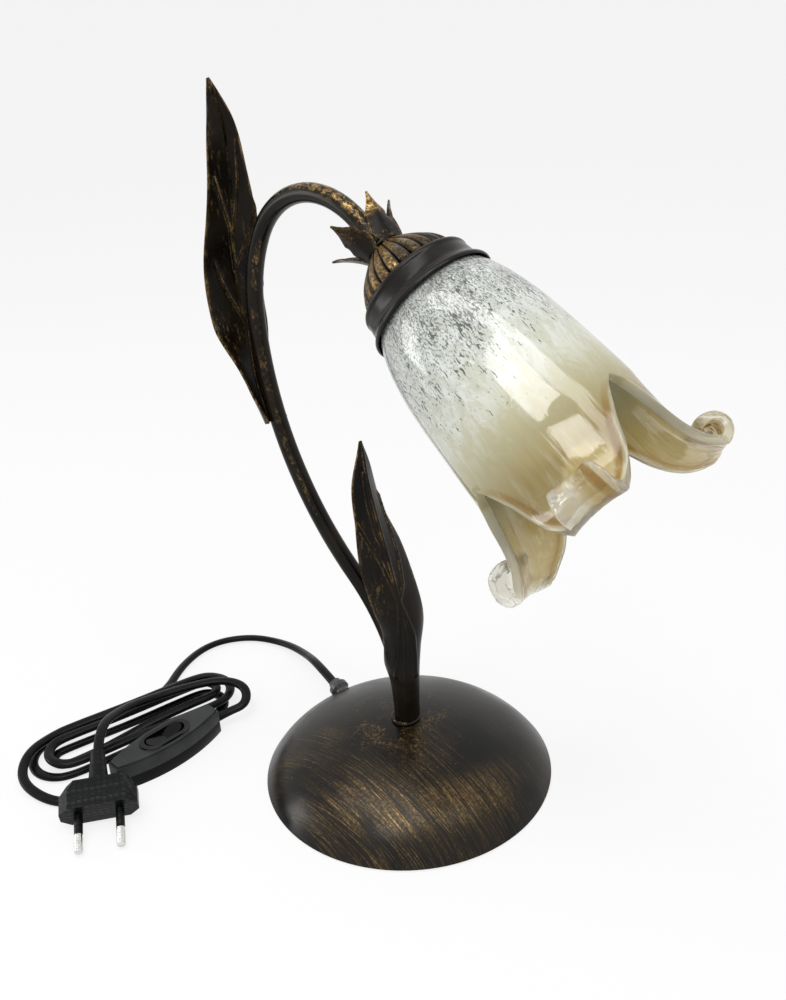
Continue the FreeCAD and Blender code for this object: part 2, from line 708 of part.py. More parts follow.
def slot_prism(length, width, z0, z1):
    r = width / 2.0
    s = length / 2.0 - r
    edges = [Part.LineSegment(V(-s, -r, z0), V(s, -r, z0)).toShape(),
             Part.Arc(V(s, -r, z0), V(s + r, 0, z0), V(s, r, z0)).toShape(),
             Part.LineSegment(V(s, r, z0), V(-s, r, z0)).toShape(),
             Part.Arc(V(-s, r, z0), V(-s - r, 0, z0), V(-s, -r, z0)).toShape()]
    return Part.Face(Part.Wire(edges)).extrude(V(0, 0, z1 - z0))


def switch_parts():
    def put(shape, name):
        save(placed(shape, SWITCH_FRAME), name)

    wall = 1.6
    inlet = Part.makeCylinder(CORD_R + 0.05, SWITCH_L + 10, V(-SWITCH_L / 2 - 5, 0, SWITCH_INLET_Z), V(1, 0, 0))
    hollow_l = SWITCH_L - 16.0
    lower = lens(SWITCH_L, SWITCH_W, 0.1, SWITCH_SPLIT)
    lower = lower.cut(lens(hollow_l, SWITCH_W - 2 * wall, 2.0, 20.0)).cut(inlet)
    upper = lens(SWITCH_L, SWITCH_W, SWITCH_SPLIT, SWITCH_H - 1.2)
    upper = upper.fuse(lens(SWITCH_L, SWITCH_W, SWITCH_H - 1.2, SWITCH_H, 1.0))
    bezel = slot_prism(ROCKER_L + 5.0, ROCKER_W + 4.4, SWITCH_H - 1.0, SWITCH_H + 0.7)
    upper = upper.fuse(bezel).cut(lens(hollow_l, SWITCH_W - 2 * wall, 0.0, SWITCH_H - 1.8))
    upper = upper.cut(slot_prism(ROCKER_L, ROCKER_W, 5.0, 20.0)).cut(inlet)
    axle_z = ROCKER_AXLE_Z
    axle_hole = Part.makeCylinder(1.25, ROCKER_W + 3.0, V(0, -ROCKER_W / 2 - 1.5, axle_z), V(0, 1, 0))
    post_y = ROCKER_W / 2
    for y in (-post_y - 1.8, post_y):
        post = Part.makeBox(6.0, 1.8, SWITCH_H - 1.8 - 8.0, V(-3.0, y, 8.0))
        upper = upper.fuse(post)
    upper = upper.cut(axle_hole)
    screws = []
    for x, y in ((-20.0, 4.6), (20.0, -4.6)):
        screw = Part.makeCylinder(1.9, 1.2, V(x, y, 0.4)).fuse(Part.makeCylinder(1.1, 9.0, V(x, y, 1.5)))
        lower = lower.cut(screw).cut(Part.makeCylinder(1.9, 1.0, V(x, y, -0.2)))
        upper = upper.cut(screw)
        screws.append(screw.cut(Part.makeBox(3.0, 0.7, 0.6, V(x - 1.5, y - 0.35, 0.4))))
    put(lower, "switch_base")
    put(upper, "switch_cover")
    put(Part.makeCompound(screws), "switch_screws")
    # Rocker: two shallow ramps between round ends about its axle, which runs in the cover's posts.
    end_r = ROCKER_L / 2

    def rim(degrees):
        q = math.radians(degrees)
        return V(end_r * math.cos(q), 0, axle_z + end_r * math.sin(q))

    crown = V(0, 0, SWITCH_H - 1.2)
    outline = [Part.LineSegment(rim(161.0), crown).toShape(), Part.LineSegment(crown, rim(28.0)).toShape(),
               Part.Arc(rim(28.0), rim(13.0), rim(-2.0)).toShape(),
               Part.LineSegment(rim(-2.0), V(4.0, 0, axle_z - 3.4)).toShape(),
               Part.LineSegment(V(4.0, 0, axle_z - 3.4), V(-4.0, 0, axle_z - 3.4)).toShape(),
               Part.LineSegment(V(-4.0, 0, axle_z - 3.4), rim(186.0)).toShape(),
               Part.Arc(rim(186.0), rim(173.5), rim(161.0)).toShape()]
    width = ROCKER_W - 0.8
    rocker = Part.Face(Part.Wire(outline)).extrude(V(0, width, 0))
    rocker.translate(V(0, -width / 2, 0))
    # The slot's rounded plan, turned about the axle, is the room that the rocker sweeps.
    half_w = width / 2
    flat = ROCKER_L / 2 - 0.4 - half_w
    barrel = revolve([(0.0, -half_w), (flat, -half_w), (flat + half_w, 0.0, "arc"), (flat, half_w), (0.0, half_w)])
    rocker = rocker.common(placed(barrel, FreeCAD.Placement(V(0, 0, axle_z), FreeCAD.Rotation(V(1, 0, 0), -90))))
    rocker = rocker.fuse(Part.makeCylinder(1.2, width + 3.4, V(0, -width / 2 - 1.7, axle_z), V(0, 1, 0)))
    put(rocker, "switch_rocker")
    # Two fixed contacts with terminals, and a sprung bridge below the rocker.
    contacts = [Part.makeBox(9.0, 3.0, 0.8, V(x, -1.5, 2.1)) for x in (-14.0, 5.0)]
    contacts += [Part.makeBox(3.0, 3.6, 2.6, V(x, -1.8, 2.9)) for x in (-14.0, 11.0)]
    put(Part.makeCompound([contacts[0].fuse(contacts[2]), contacts[1].fuse(contacts[3])]), "switch_contacts")
    bridge = Part.makeBox(6.0, 2.6, 0.5, V(-3.0, -1.3, 5.2)).fuse(Part.makeBox(1.0, 2.6, 3.2, V(-0.5, -1.3, 2.0)))
    put(bridge, "switch_bridge")


def plug_parts():
    def put(shape, name):
        save(placed(shape, PLUG_FRAME), name)

    w = PLUG_W / 2
    t = PLUG_T / 2
    plan = [V(w, 0, 0), V(w - 4.2, t, 0), V(-w + 4.2, t, 0), V(-w, 0, 0), V(-w + 4.2, -t, 0), V(w - 4.2, -t, 0)]
    flat = 2.6
    face = [V(w, -flat, 0), V(w, flat, 0), V(w - 4.4, t, 0), V(-w + 4.4, t, 0), V(-w, flat, 0), V(-w, -flat, 0),
            V(-w + 4.4, -t, 0), V(w - 4.4, -t, 0)]
    front = Part.makePolygon(face + [face[0]])
    waist = Part.makePolygon([V(p.x, p.y, -9.5) for p in face] + [V(face[0].x, face[0].y, -9.5)])
    back = Part.makePolygon([V(p.x * 0.80, p.y * 0.92, -PLUG_DEPTH) for p in face]
                            + [V(face[0].x * 0.80, face[0].y * 0.92, -PLUG_DEPTH)])
    body = Part.makeLoft([front, waist, back], True, True)
    for x in (-PIN_GAP / 2, PIN_GAP / 2):
        body = body.cut(Part.makeCylinder(PIN_ROOT_R, 8.0, V(x, 0, -8.0)))
    put(body, "plug_body")
    boot = revolve([(CORD_R + 0.02, -PLUG_DEPTH - BOOT_LEN), (3.3, -PLUG_DEPTH - BOOT_LEN),
                    (4.8, -PLUG_DEPTH), (CORD_R + 0.02, -PLUG_DEPTH)])
    put(boot, "plug_boot")
    pins = []
    sleeves = []
    sleeve_len = 10.0
    for x in (-PIN_GAP / 2, PIN_GAP / 2):
        pin = cylinder(PIN_ROOT_R, -8.0, sleeve_len)
        pin = pin.fuse(cylinder(2.0, sleeve_len, PIN_LEN - 1.0))
        pin = pin.fuse(revolve([(0, PIN_LEN - 1.0), (2.0, PIN_LEN - 1.0), (1.4, PIN_LEN - 0.2, "arc"), (0, PIN_LEN)]))
        pin.translate(V(x, 0, 0))
        pins.append(pin)
        sleeve = ring(PIN_ROOT_R, 2.0, 0.0, sleeve_len)
        sleeve.translate(V(x, 0, 0))
        sleeves.append(sleeve)
    put(Part.makeCompound(pins), "plug_pins")
    put(Part.makeCompound(sleeves), "pin_sleeves")


def bush_point(out):
    return BUSH_FRAME.multVec(V(0, 0, out))


def plug_point(back):
    return PLUG_FRAME.multVec(V(0, 0, -PLUG_DEPTH - BOOT_LEN - back))


def tup(v):
    return (v.x, v.y, v.z)


# Free stretches of the cord, one point a line, in the order that the current runs.
LEAD_ROUTE = [tup(bush_point(-3.0)),
              tup(bush_point(22.0)),
              (-104.0, 26.0, 6.6),
              (-125.0, 28.5, 3.2),
              (-146.5, 20.5, TABLE_Z),
              (-158.5, 1.5, TABLE_Z),
              (-154.0, -22.0, TABLE_Z),
              tup(hank_point(HANK_START + 17.0, HANK_INNER[0], TABLE_Z)),
              tup(hank_point(HANK_START, HANK_INNER[0], TABLE_Z))]
SWITCH_END_ROUTE = [tup(hank_point(HANK_FINISH, HANK_OUTER[-1], TABLE_Z + LAYER)),
                    tup(hank_point(HANK_FINISH - 12.0, HANK_OUTER[-1], TABLE_Z + LAYER)),
                    (-143.5, -122.5, 8.2),
                    (-131.0, -134.0, 5.0),
                    (-112.0, -132.0, 2.8),
                    (-98.5, -123.5, 2.9),
                    (-95.0, -112.0, 6.2),
                    (-95.0, SWITCH_C.y - SWITCH_L / 2 + 3.0, SWITCH_INLET_Z)]
PLUG_END_ROUTE = [(-95.0, SWITCH_C.y + SWITCH_L / 2 - 3.0, SWITCH_INLET_Z),
                  (-95.0, -36.5, SWITCH_INLET_Z),
                  (-89.5, -27.0, 9.2),
                  (-98.0, -20.0, 12.6),
                  (-110.5, -24.5, 13.6),
                  (-119.5, -39.0, 13.5),
                  (-126.0, -58.0, 13.6),
                  (-127.0, -77.0, 16.6),
                  tup(plug_point(15.0)),
                  tup(plug_point(-3.0))]


def cord_tube(wire, name):
    tube = pipe(wire, CORD_R)
    expected = math.pi * CORD_R ** 2 * wire.Length
    print("%s: length %.1f mm, volume %.1f against %.1f" % (name, wire.Length, tube.Volume, expected))
    save(tube, name)
    return wire.Length


def inner_cord():
    """The lead's two cores inside the lamp: across the base, up the stem and into the holder."""
    core_r = 1.7
    foot = [tup(bush_point(-3.0)),
            tup(bush_point(-12.0)),
            (-40.0, 8.0, 5.4),
            (-24.0, 4.6, 4.8),
            (-1.2, -0.4, 4.2),
            (0.0, 0.0, 16.0)]
    wire, radii = rounded_route(foot)
    rest, _, _ = turtle(V(0, 0, 16.0), 0.0, [("run", STEM_RISE_Z - 16.0)] + STEM_MOVES[1:-1]
                        + [("run", NECK_RUN + 16.0)])
    last = wire.OrderedEdges[-1]
    heading = last.tangentAt(last.LastParameter)
    print("inner cord enters the stem %.1f degrees off upright" % math.degrees(heading.getAngle(V(0, 0, 1))))
    whole = Part.Wire(wire.OrderedEdges + rest.OrderedEdges)
    return pipe(whole, core_r)


def cord_parts():
    total = 0.0
    for name, route in (("cord_lead", LEAD_ROUTE), ("cord_switch_end", SWITCH_END_ROUTE),
                        ("cord_plug_end", PLUG_END_ROUTE)):
        wire, radii = rounded_route(route)
        print(name, "arc radii:", " ".join("%.1f" % r for r in radii))
        total += cord_tube(wire, name)
    wire = hank_wire()
    total += cord_tube(wire, "cord_hank")
    print("cord_hank: least gap to itself %.2f mm" % least_gap(wire, 14.0))
    print("free cord in all: %.0f mm" % total)


def main():
    base_parts()
    save(stem_tube(), "stem_tube")
    save(leaf(LOWER_LEAF), "lower_leaf")
    save(leaf(UPPER_LEAF), "upper_leaf")
    head_parts()
    save(placed(glass_shade(), SHADE_FRAME), "glass_shade")
    save(inner_cord(), "inner_cord")
    switch_parts()
    plug_parts()
    cord_parts()


main()
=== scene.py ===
import bpy
import math
from mathutils import Matrix, Vector, noise


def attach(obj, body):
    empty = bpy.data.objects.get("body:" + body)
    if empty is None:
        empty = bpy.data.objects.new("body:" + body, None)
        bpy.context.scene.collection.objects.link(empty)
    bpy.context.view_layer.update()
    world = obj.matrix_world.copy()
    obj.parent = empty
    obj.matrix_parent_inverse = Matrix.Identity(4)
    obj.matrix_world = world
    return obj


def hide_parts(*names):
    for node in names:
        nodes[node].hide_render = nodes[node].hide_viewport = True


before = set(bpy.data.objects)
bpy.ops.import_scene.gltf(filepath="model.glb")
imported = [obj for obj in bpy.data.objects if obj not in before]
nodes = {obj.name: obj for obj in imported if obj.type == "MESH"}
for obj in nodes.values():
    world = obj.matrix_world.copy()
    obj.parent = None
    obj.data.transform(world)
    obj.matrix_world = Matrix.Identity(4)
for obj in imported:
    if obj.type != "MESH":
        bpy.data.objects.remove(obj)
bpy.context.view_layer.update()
scene = bpy.context.scene
MM = 0.001

# ------------------------------------------------------------------ materials


class Finish:
    """A material with one Principled shader, fed from positions in the part's own frame."""

    def __init__(self, name, **plain):
        self.mat = bpy.data.materials.new(name)
        self.mat.use_nodes = True
        self.tree = self.mat.node_tree
        self.shader = self.tree.nodes["Principled BSDF"]
        self.place = self.add("ShaderNodeTexCoord").outputs["Object"]
        for key, value in plain.items():
            self.set(key.replace("_", " "), value)

    def add(self, kind, **settings):
        node = self.tree.nodes.new(kind)
        for key, value in settings.items():
            setattr(node, key, value)
        return node

    def plug(self, socket, value):
        if isinstance(value, bpy.types.NodeSocket):
            self.tree.links.new(value, socket)
        elif value is not None:
            socket.default_value = value

    def set(self, name, value):
        if isinstance(value, tuple) and len(value) == 3:
            value = (*value, 1.0)
        self.plug(self.shader.inputs[name], value)

    def math(self, operation, a, b=None, clamp=False):
        node = self.add("ShaderNodeMath", operation=operation, use_clamp=clamp)
        self.plug(node.inputs[0], a)
        self.plug(node.inputs[1], b)
        return node.outputs[0]

    def both(self, *values):
        out = values[0]
        for value in values[1:]:
            out = self.math("MULTIPLY", out, value)
        return out

    def either(self, *values):
        out = values[0]
        for value in values[1:]:
            out = self.math("MAXIMUM", out, value)
        return out

    def along(self, direction, source=None):
        """Distance in metres along a direction."""
        node = self.add("ShaderNodeVectorMath", operation="DOT_PRODUCT")
        self.plug(node.inputs[0], source or self.place)
        node.inputs[1].default_value = direction
        return node.outputs["Value"]

    def moved(self, origin):
        node = self.add("ShaderNodeVectorMath", operation="SUBTRACT")
        self.plug(node.inputs[0], self.place)
        node.inputs[1].default_value = origin
        return node.outputs["Vector"]

    def turned(self, scale, turn=(0.0, 0.0, 0.0), source=None):
        """Positions turned by Euler degrees and then scaled per axis."""
        first = self.add("ShaderNodeMapping")
        self.plug(first.inputs["Vector"], source or self.place)
        first.inputs["Rotation"].default_value = [math.radians(a) for a in turn]
        second = self.add("ShaderNodeMapping")
        self.plug(second.inputs["Vector"], first.outputs[0])
        second.inputs["Scale"].default_value = scale
        return second.outputs[0]

    def noise(self, vector, scale=1.0, detail=3.0, rough=0.55, twist=0.0):
        node = self.add("ShaderNodeTexNoise")
        self.plug(node.inputs["Vector"], vector)
        node.inputs["Scale"].default_value = scale
        node.inputs["Detail"].default_value = detail
        node.inputs["Roughness"].default_value = rough
        node.inputs["Distortion"].default_value = twist
        return node.outputs["Fac"]

    def step(self, value, low, high, out=(0.0, 1.0)):
        node = self.add("ShaderNodeMapRange", interpolation_type="SMOOTHSTEP")
        self.plug(node.inputs["Value"], value)
        node.inputs["From Min"].default_value = low
        node.inputs["From Max"].default_value = high
        node.inputs["To Min"].default_value = out[0]
        node.inputs["To Max"].default_value = out[1]
        return node.outputs["Result"]

    def mix(self, factor, a, b):
        node = self.add("ShaderNodeMix", data_type="RGBA")
        self.plug(node.inputs["Factor"], factor)
        self.plug(node.inputs[6], (*a, 1.0) if isinstance(a, tuple) else a)
        self.plug(node.inputs[7], (*b, 1.0) if isinstance(b, tuple) else b)
        return node.outputs[2]

    def ramp(self, value, stops):
        node = self.add("ShaderNodeValToRGB")
        self.plug(node.inputs["Fac"], value)
        band = node.color_ramp
        while len(band.elements) < len(stops):
            band.elements.new(0.5)
        for element, (at, colour) in zip(band.elements, stops):
            element.position = at
            element.color = (*colour, 1.0)
        return node.outputs["Color"]

    def attribute(self, name):
        return self.add("ShaderNodeAttribute", attribute_name=name).outputs["Fac"]

    def bump(self, height, strength, distance=0.0005):
        node = self.add("ShaderNodeBump")
        node.inputs["Strength"].default_value = strength
        node.inputs["Distance"].default_value = distance
        self.plug(node.inputs["Height"], height)
        self.plug(self.shader.inputs["Normal"], node.outputs["Normal"])


DARK_A = (0.0028, 0.0021, 0.0014)
DARK_B = (0.0120, 0.0085, 0.0045)
GOLD_A = (0.17, 0.088, 0.022)
GOLD_B = (0.56, 0.39, 0.17)


def patina(name, rub_and_highlight, seed=0.0, rough=(0.24, 0.40), shine=0.20):
    """Brown-black lacquer over metal. The function passed in gives how much of the gold shows, from 0 to 1:
    rubbed gold, and on the base, stem and cap painted highlights as well.
    """
    f = Finish(name, Specular_IOR_Level=shine)
    cloud = f.noise(f.moved((seed, seed, seed)), 38.0, 4.0)
    grain = f.noise(f.moved((seed, 0.0, 0.0)), 900.0, 3.0, 0.7)
    dark = f.mix(f.step(cloud, 0.35, 0.70), DARK_A, DARK_B)
    gold = f.mix(f.step(grain, 0.38, 0.66), GOLD_A, GOLD_B)
    show = rub_and_highlight(f)
    f.set("Base Color", f.mix(show, dark, gold))
    f.set("Metallic", f.both(show, 0.9))
    worn = f.step(cloud, 0.3, 0.7, rough)
    f.set("Roughness", f.math("ADD", worn, f.both(show, 0.08), clamp=True))
    f.bump(f.math("ADD", f.both(grain, 0.25), f.both(show, 0.6)), 0.16, 0.0002)
    return f.mat


def rub_and_highlight_base(f):
    """Fine brushed gold lines, laid brighter on the front shoulder as a painted highlight, and smudges round
    the foot of the stem.
    """
    thin = f.noise(f.turned((38.0, 2500.0, 60.0), (0.0, 0.0, 4.0)), 1.0, 3.0, 0.6)
    hair = f.noise(f.turned((17.0, 3300.0, 36.0), (0.0, 0.0, -3.0)), 1.0, 2.0, 0.5)
    stroke = f.noise(f.turned((14.0, 520.0, 40.0), (0.0, 0.0, 7.0)), 1.0, 3.0, 0.6)
    front = f.along((0.66, -0.75, 0.0))
    away = f.add("ShaderNodeVectorMath", operation="LENGTH")
    f.plug(away.inputs[0], f.turned((1.0, 1.0, 0.0)))
    away = away.outputs["Value"]
    # shoulder is the band where the overhead lamp's highlight falls; strong, level and wash lay brighter gold
    # there, a painted highlight over the rubbed lines.
    shoulder = f.both(f.step(away, 0.034, 0.046), f.step(away, 0.063, 0.053), f.step(front, 0.016, 0.040))
    patch = f.step(f.noise(f.place, 34.0, 3.0), 0.36, 0.60)
    strong = f.both(shoulder, f.step(stroke, 0.40, 0.62, (0.25, 1.0)), f.step(patch, 0.0, 1.0, (0.35, 1.0)))
    around = f.both(f.step(front, -0.022, 0.022), patch)
    level = f.math("ADD", f.both(strong, 0.62), f.both(around, 0.17))
    fine = f.both(f.step(thin, 0.52, 0.64), level)
    long = f.both(f.step(hair, 0.60, 0.68), around, 0.34)
    wash = f.both(strong, f.step(stroke, 0.42, 0.60), 0.16)
    near = f.both(f.step(away, 0.034, 0.018), f.step(away, 0.005, 0.009))
    swirl = f.step(f.noise(f.place, 420.0, 5.0, 0.72, 1.2), 0.48, 0.62)
    smudge = f.both(near, swirl, f.step(f.noise(f.moved((0.02, 0.01, 0.0)), 62.0, 2.0), 0.47, 0.60), 0.32)
    flecks = f.both(f.step(f.noise(f.place, 760.0, 2.0, 0.5), 0.745, 0.77), 0.5)
    return f.either(fine, long, wash, smudge, flecks)


def rub_and_highlight_stem(f):
    """Gold dabs on the crown of the hook, brighter near the neck, a line down the limb and a few on the back,
    placed where the tube faces the lamps or the camera: partly rubbed wear, partly painted highlight.
    """
    streak = f.noise(f.turned((330.0, 620.0, 330.0)), 1.0, 4.0, 0.62, 0.5)
    patch = f.step(f.noise(f.place, 80.0, 3.0), 0.42, 0.62)
    normal = f.add("ShaderNodeNewGeometry").outputs["Normal"]
    height = f.along((0.0, 0.0, 1.0))
    forward = f.along((1.0, 0.0, 0.0))
    # crown, neck, limb and back pick the sides of the tube that face the overhead and side lamps or the
    # camera: the gold there is a painted highlight, broken up by rubbed streaks.
    crown = f.both(f.step(f.along((0.10, -0.30, 0.95), normal), 0.62, 0.92), f.step(height, 0.235, 0.262))
    neck = f.both(f.step(f.along((-0.35, -0.62, 0.70), normal), 0.66, 0.95),
                  f.step(forward, -0.034, -0.012))
    limb = f.both(f.step(f.along((0.75, -0.66, 0.0), normal), 0.86, 0.98), patch, 0.6)
    back = f.both(f.step(f.along((-0.7, -0.6, 0.3), normal), 0.80, 0.98), patch, 0.35)
    return f.both(f.either(f.both(crown, 0.8), neck, limb, back), f.step(streak, 0.44, 0.62))


def rub_leaf(f):
    """Thin rubbed edges and vein lines, a brushed tip and a few dry-brushed areas."""
    streak = f.noise(f.turned((800.0, 800.0, 150.0)), 1.0, 4.0, 0.68, 0.5)
    patch = f.step(f.noise(f.place, 52.0, 3.0), 0.46, 0.62)
    broken = f.step(f.noise(f.place, 110.0, 3.0), 0.40, 0.58, (0.15, 1.0))
    edge = f.both(f.attribute("edge"), broken, f.step(streak, 0.36, 0.58), 0.50)
    crest = f.both(f.step(f.attribute("rib"), 0.04, 0.30), f.step(f.attribute("rib"), 0.80, 0.40))
    above = f.step(f.along((0.0, 0.0, 1.0)), 0.078, 0.104)
    vein = f.both(crest, broken, f.step(streak, 0.34, 0.56), above, 0.36)
    tip = f.both(f.attribute("tip"), f.step(streak, 0.46, 0.64), patch, 0.70)
    wash = f.both(patch, f.step(streak, 0.52, 0.68), above, 0.28)
    return f.either(edge, vein, tip, wash)


# The shade's own frame: its origin, the way its mouth faces, and the way across that in the stem's plane.
SHADE_O = (0.028858, 0.0, 0.232672)
SHADE_A = (0.81412, 0.0, -0.58070)
SHADE_V = (0.58070, 0.0, 0.81412)


def rub_and_highlight_cap(f):
    """Gold brushed over the crests of the flutes, most on the side that faces the side lamp, where the extra
    gold is a painted highlight.
    """
    local = f.moved(SHADE_O)
    fine = f.noise(f.place, 800.0, 4.0, 0.7)
    patch = f.step(f.noise(f.place, 95.0, 2.0), 0.38, 0.60, (0.25, 1.0))
    # side picks the half of the cap that faces the side lamp: more gold there is a painted highlight.
    side = f.step(f.along((-0.55, -0.80, -0.20), local), -0.006, 0.018, (0.07, 1.0))
    return f.both(f.step(f.attribute("crest"), 0.62, 0.98), f.step(fine, 0.28, 0.54), patch, side, 0.95)


def rub_calyx(f):
    """A gold tip and thin bright edges."""
    fine = f.noise(f.place, 900.0, 4.0, 0.7)
    tip = f.both(f.attribute("tip"), f.step(fine, 0.36, 0.56), 0.95)
    edge = f.both(f.attribute("edge"), f.step(fine, 0.42, 0.60), 0.40)
    wash = f.both(f.step(f.noise(f.place, 130.0, 2.0), 0.52, 0.66), f.step(fine, 0.50, 0.66), 0.35)
    return f.either(tip, edge, wash)


def rub_little(f):
    """A few small dabs."""
    fine = f.noise(f.place, 800.0, 4.0, 0.7)
    return f.both(f.step(fine, 0.50, 0.64), f.step(f.noise(f.place, 120.0, 2.0), 0.42, 0.60), 0.22)


def satin_band():
    f = Finish("band-lacquer", Specular_IOR_Level=0.17)
    turned = f.noise(f.place, 240.0, 3.0)
    f.set("Base Color", f.mix(f.step(turned, 0.3, 0.7), (0.0050, 0.0042, 0.0030), (0.0110, 0.0095, 0.0072)))
    f.set("Roughness", f.step(f.noise(f.place, 90.0, 3.0), 0.3, 0.7, (0.20, 0.32)))
    f.bump(f.noise(f.place, 1500.0, 2.0), 0.06, 0.0001)
    return f.mat


def plastic(name, dark, pale, rough, grain=2200.0, depth=0.12, shine=0.3):
    f = Finish(name, Specular_IOR_Level=shine)
    speck = f.noise(f.place, grain, 3.0, 0.65)
    cloud = f.noise(f.place, 55.0, 3.0)
    f.set("Base Color", f.mix(f.step(cloud, 0.3, 0.7), dark, pale))
    f.set("Roughness", f.step(speck, 0.3, 0.7, rough))
    f.bump(speck, depth, 0.0001)
    return f.mat


SWITCH_AT = (-0.095, -0.0732, 0.0)
OVAL_HALF = (0.0072, 0.0142)


def switch_shell():
    """Charcoal grained shell with a glossy black oval round the rocker."""
    f = Finish("switch-matt", Specular_IOR_Level=0.22)
    speck = f.noise(f.place, 3000.0, 3.0, 0.65)
    place = f.moved(SWITCH_AT)
    oval = f.add("ShaderNodeVectorMath", operation="LENGTH")
    f.plug(oval.inputs[0], f.turned((1.0 / OVAL_HALF[0], 1.0 / OVAL_HALF[1], 0.0), source=place))
    inside = f.step(oval.outputs["Value"], 1.02, 0.98)
    cloud = f.step(f.noise(f.place, 70.0, 3.0), 0.3, 0.7)
    shell = f.mix(cloud, (0.021, 0.023, 0.0225), (0.034, 0.037, 0.036))
    f.set("Base Color", f.mix(inside, shell, (0.0012, 0.0014, 0.0013)))
    f.set("Roughness", f.math("SUBTRACT", f.step(speck, 0.3, 0.7, (0.46, 0.60)), f.both(inside, 0.28)))
    f.bump(speck, 0.3, 0.0001)
    return f.mat


def plug_moulding():
    """Black moulding with a scaled grip pattern."""
    f = Finish("plug-plastic", Specular_IOR_Level=0.14)
    cells = f.add("ShaderNodeTexVoronoi", feature="F1")
    f.plug(cells.inputs["Vector"], f.turned((360.0, 360.0, 520.0), (0.0, 0.0, 33.9)))
    cells.inputs["Scale"].default_value = 1.0
    cells.inputs["Randomness"].default_value = 0.25
    scale = f.step(cells.outputs["Distance"], 0.15, 0.60)
    f.set("Base Color", f.mix(scale, (0.0075, 0.0085, 0.0085), (0.0022, 0.0026, 0.0026)))
    f.set("Roughness", f.step(f.noise(f.place, 900.0, 3.0), 0.3, 0.7, (0.26, 0.40)))
    f.bump(scale, 0.35, 0.0003)
    return f.mat


def metal(name, dark, pale, rough, scale=(300.0, 300.0, 2600.0)):
    f = Finish(name, Metallic=1.0)
    brushed = f.noise(f.turned(scale), 1.0, 3.0, 0.6)
    f.set("Base Color", f.mix(f.step(brushed, 0.3, 0.7), dark, pale))
    f.set("Roughness", f.step(f.noise(f.place, 240.0, 3.0), 0.3, 0.7, rough))
    f.bump(brushed, 0.1, 0.0001)
    return f.mat


def cord_pvc():
    f = Finish("cord-pvc", Specular_IOR_Level=0.12)
    ripple = f.noise(f.place, 420.0, 3.0)
    f.set("Base Color", f.mix(f.step(f.noise(f.place, 70.0, 3.0), 0.3, 0.7), (0.0020, 0.0021, 0.0021),
                              (0.0060, 0.0062, 0.0062)))
    f.set("Roughness", f.step(ripple, 0.3, 0.7, (0.24, 0.38)))
    f.bump(ripple, 0.10, 0.0003)
    return f.mat


def felt():
    f = Finish("felt", Sheen_Weight=0.4, Sheen_Roughness=0.6, Roughness=0.95)
    fibre = f.noise(f.place, 1400.0, 5.0, 0.75)
    f.set("Base Color", f.mix(fibre, (0.012, 0.012, 0.012), (0.055, 0.055, 0.055)))
    f.bump(fibre, 0.5, 0.0004)
    return f.mat


def porcelain():
    f = Finish("porcelain", Coat_Weight=0.5, Coat_Roughness=0.05)
    cloud = f.noise(f.place, 90.0, 3.0)
    f.set("Base Color", f.mix(cloud, (0.74, 0.72, 0.68), (0.86, 0.85, 0.81)))
    f.set("Roughness", f.step(cloud, 0.3, 0.7, (0.16, 0.26)))
    return f.mat


def bushing_plastic():
    f = Finish("bushing-plastic", Specular_IOR_Level=0.30)
    cloud = f.noise(f.place, 300.0, 3.0)
    f.set("Base Color", f.mix(cloud, (0.045, 0.046, 0.045), (0.085, 0.087, 0.085)))
    f.set("Roughness", f.step(cloud, 0.3, 0.7, (0.18, 0.30)))
    return f.mat


def opal_bulb():
    f = Finish("bulb-opal", Transmission_Weight=0.35, IOR=1.5)
    cloud = f.noise(f.place, 60.0, 3.0)
    f.set("Base Color", f.mix(cloud, (0.82, 0.81, 0.78), (0.90, 0.89, 0.86)))
    f.set("Roughness", f.step(cloud, 0.3, 0.7, (0.22, 0.34)))
    return f.mat


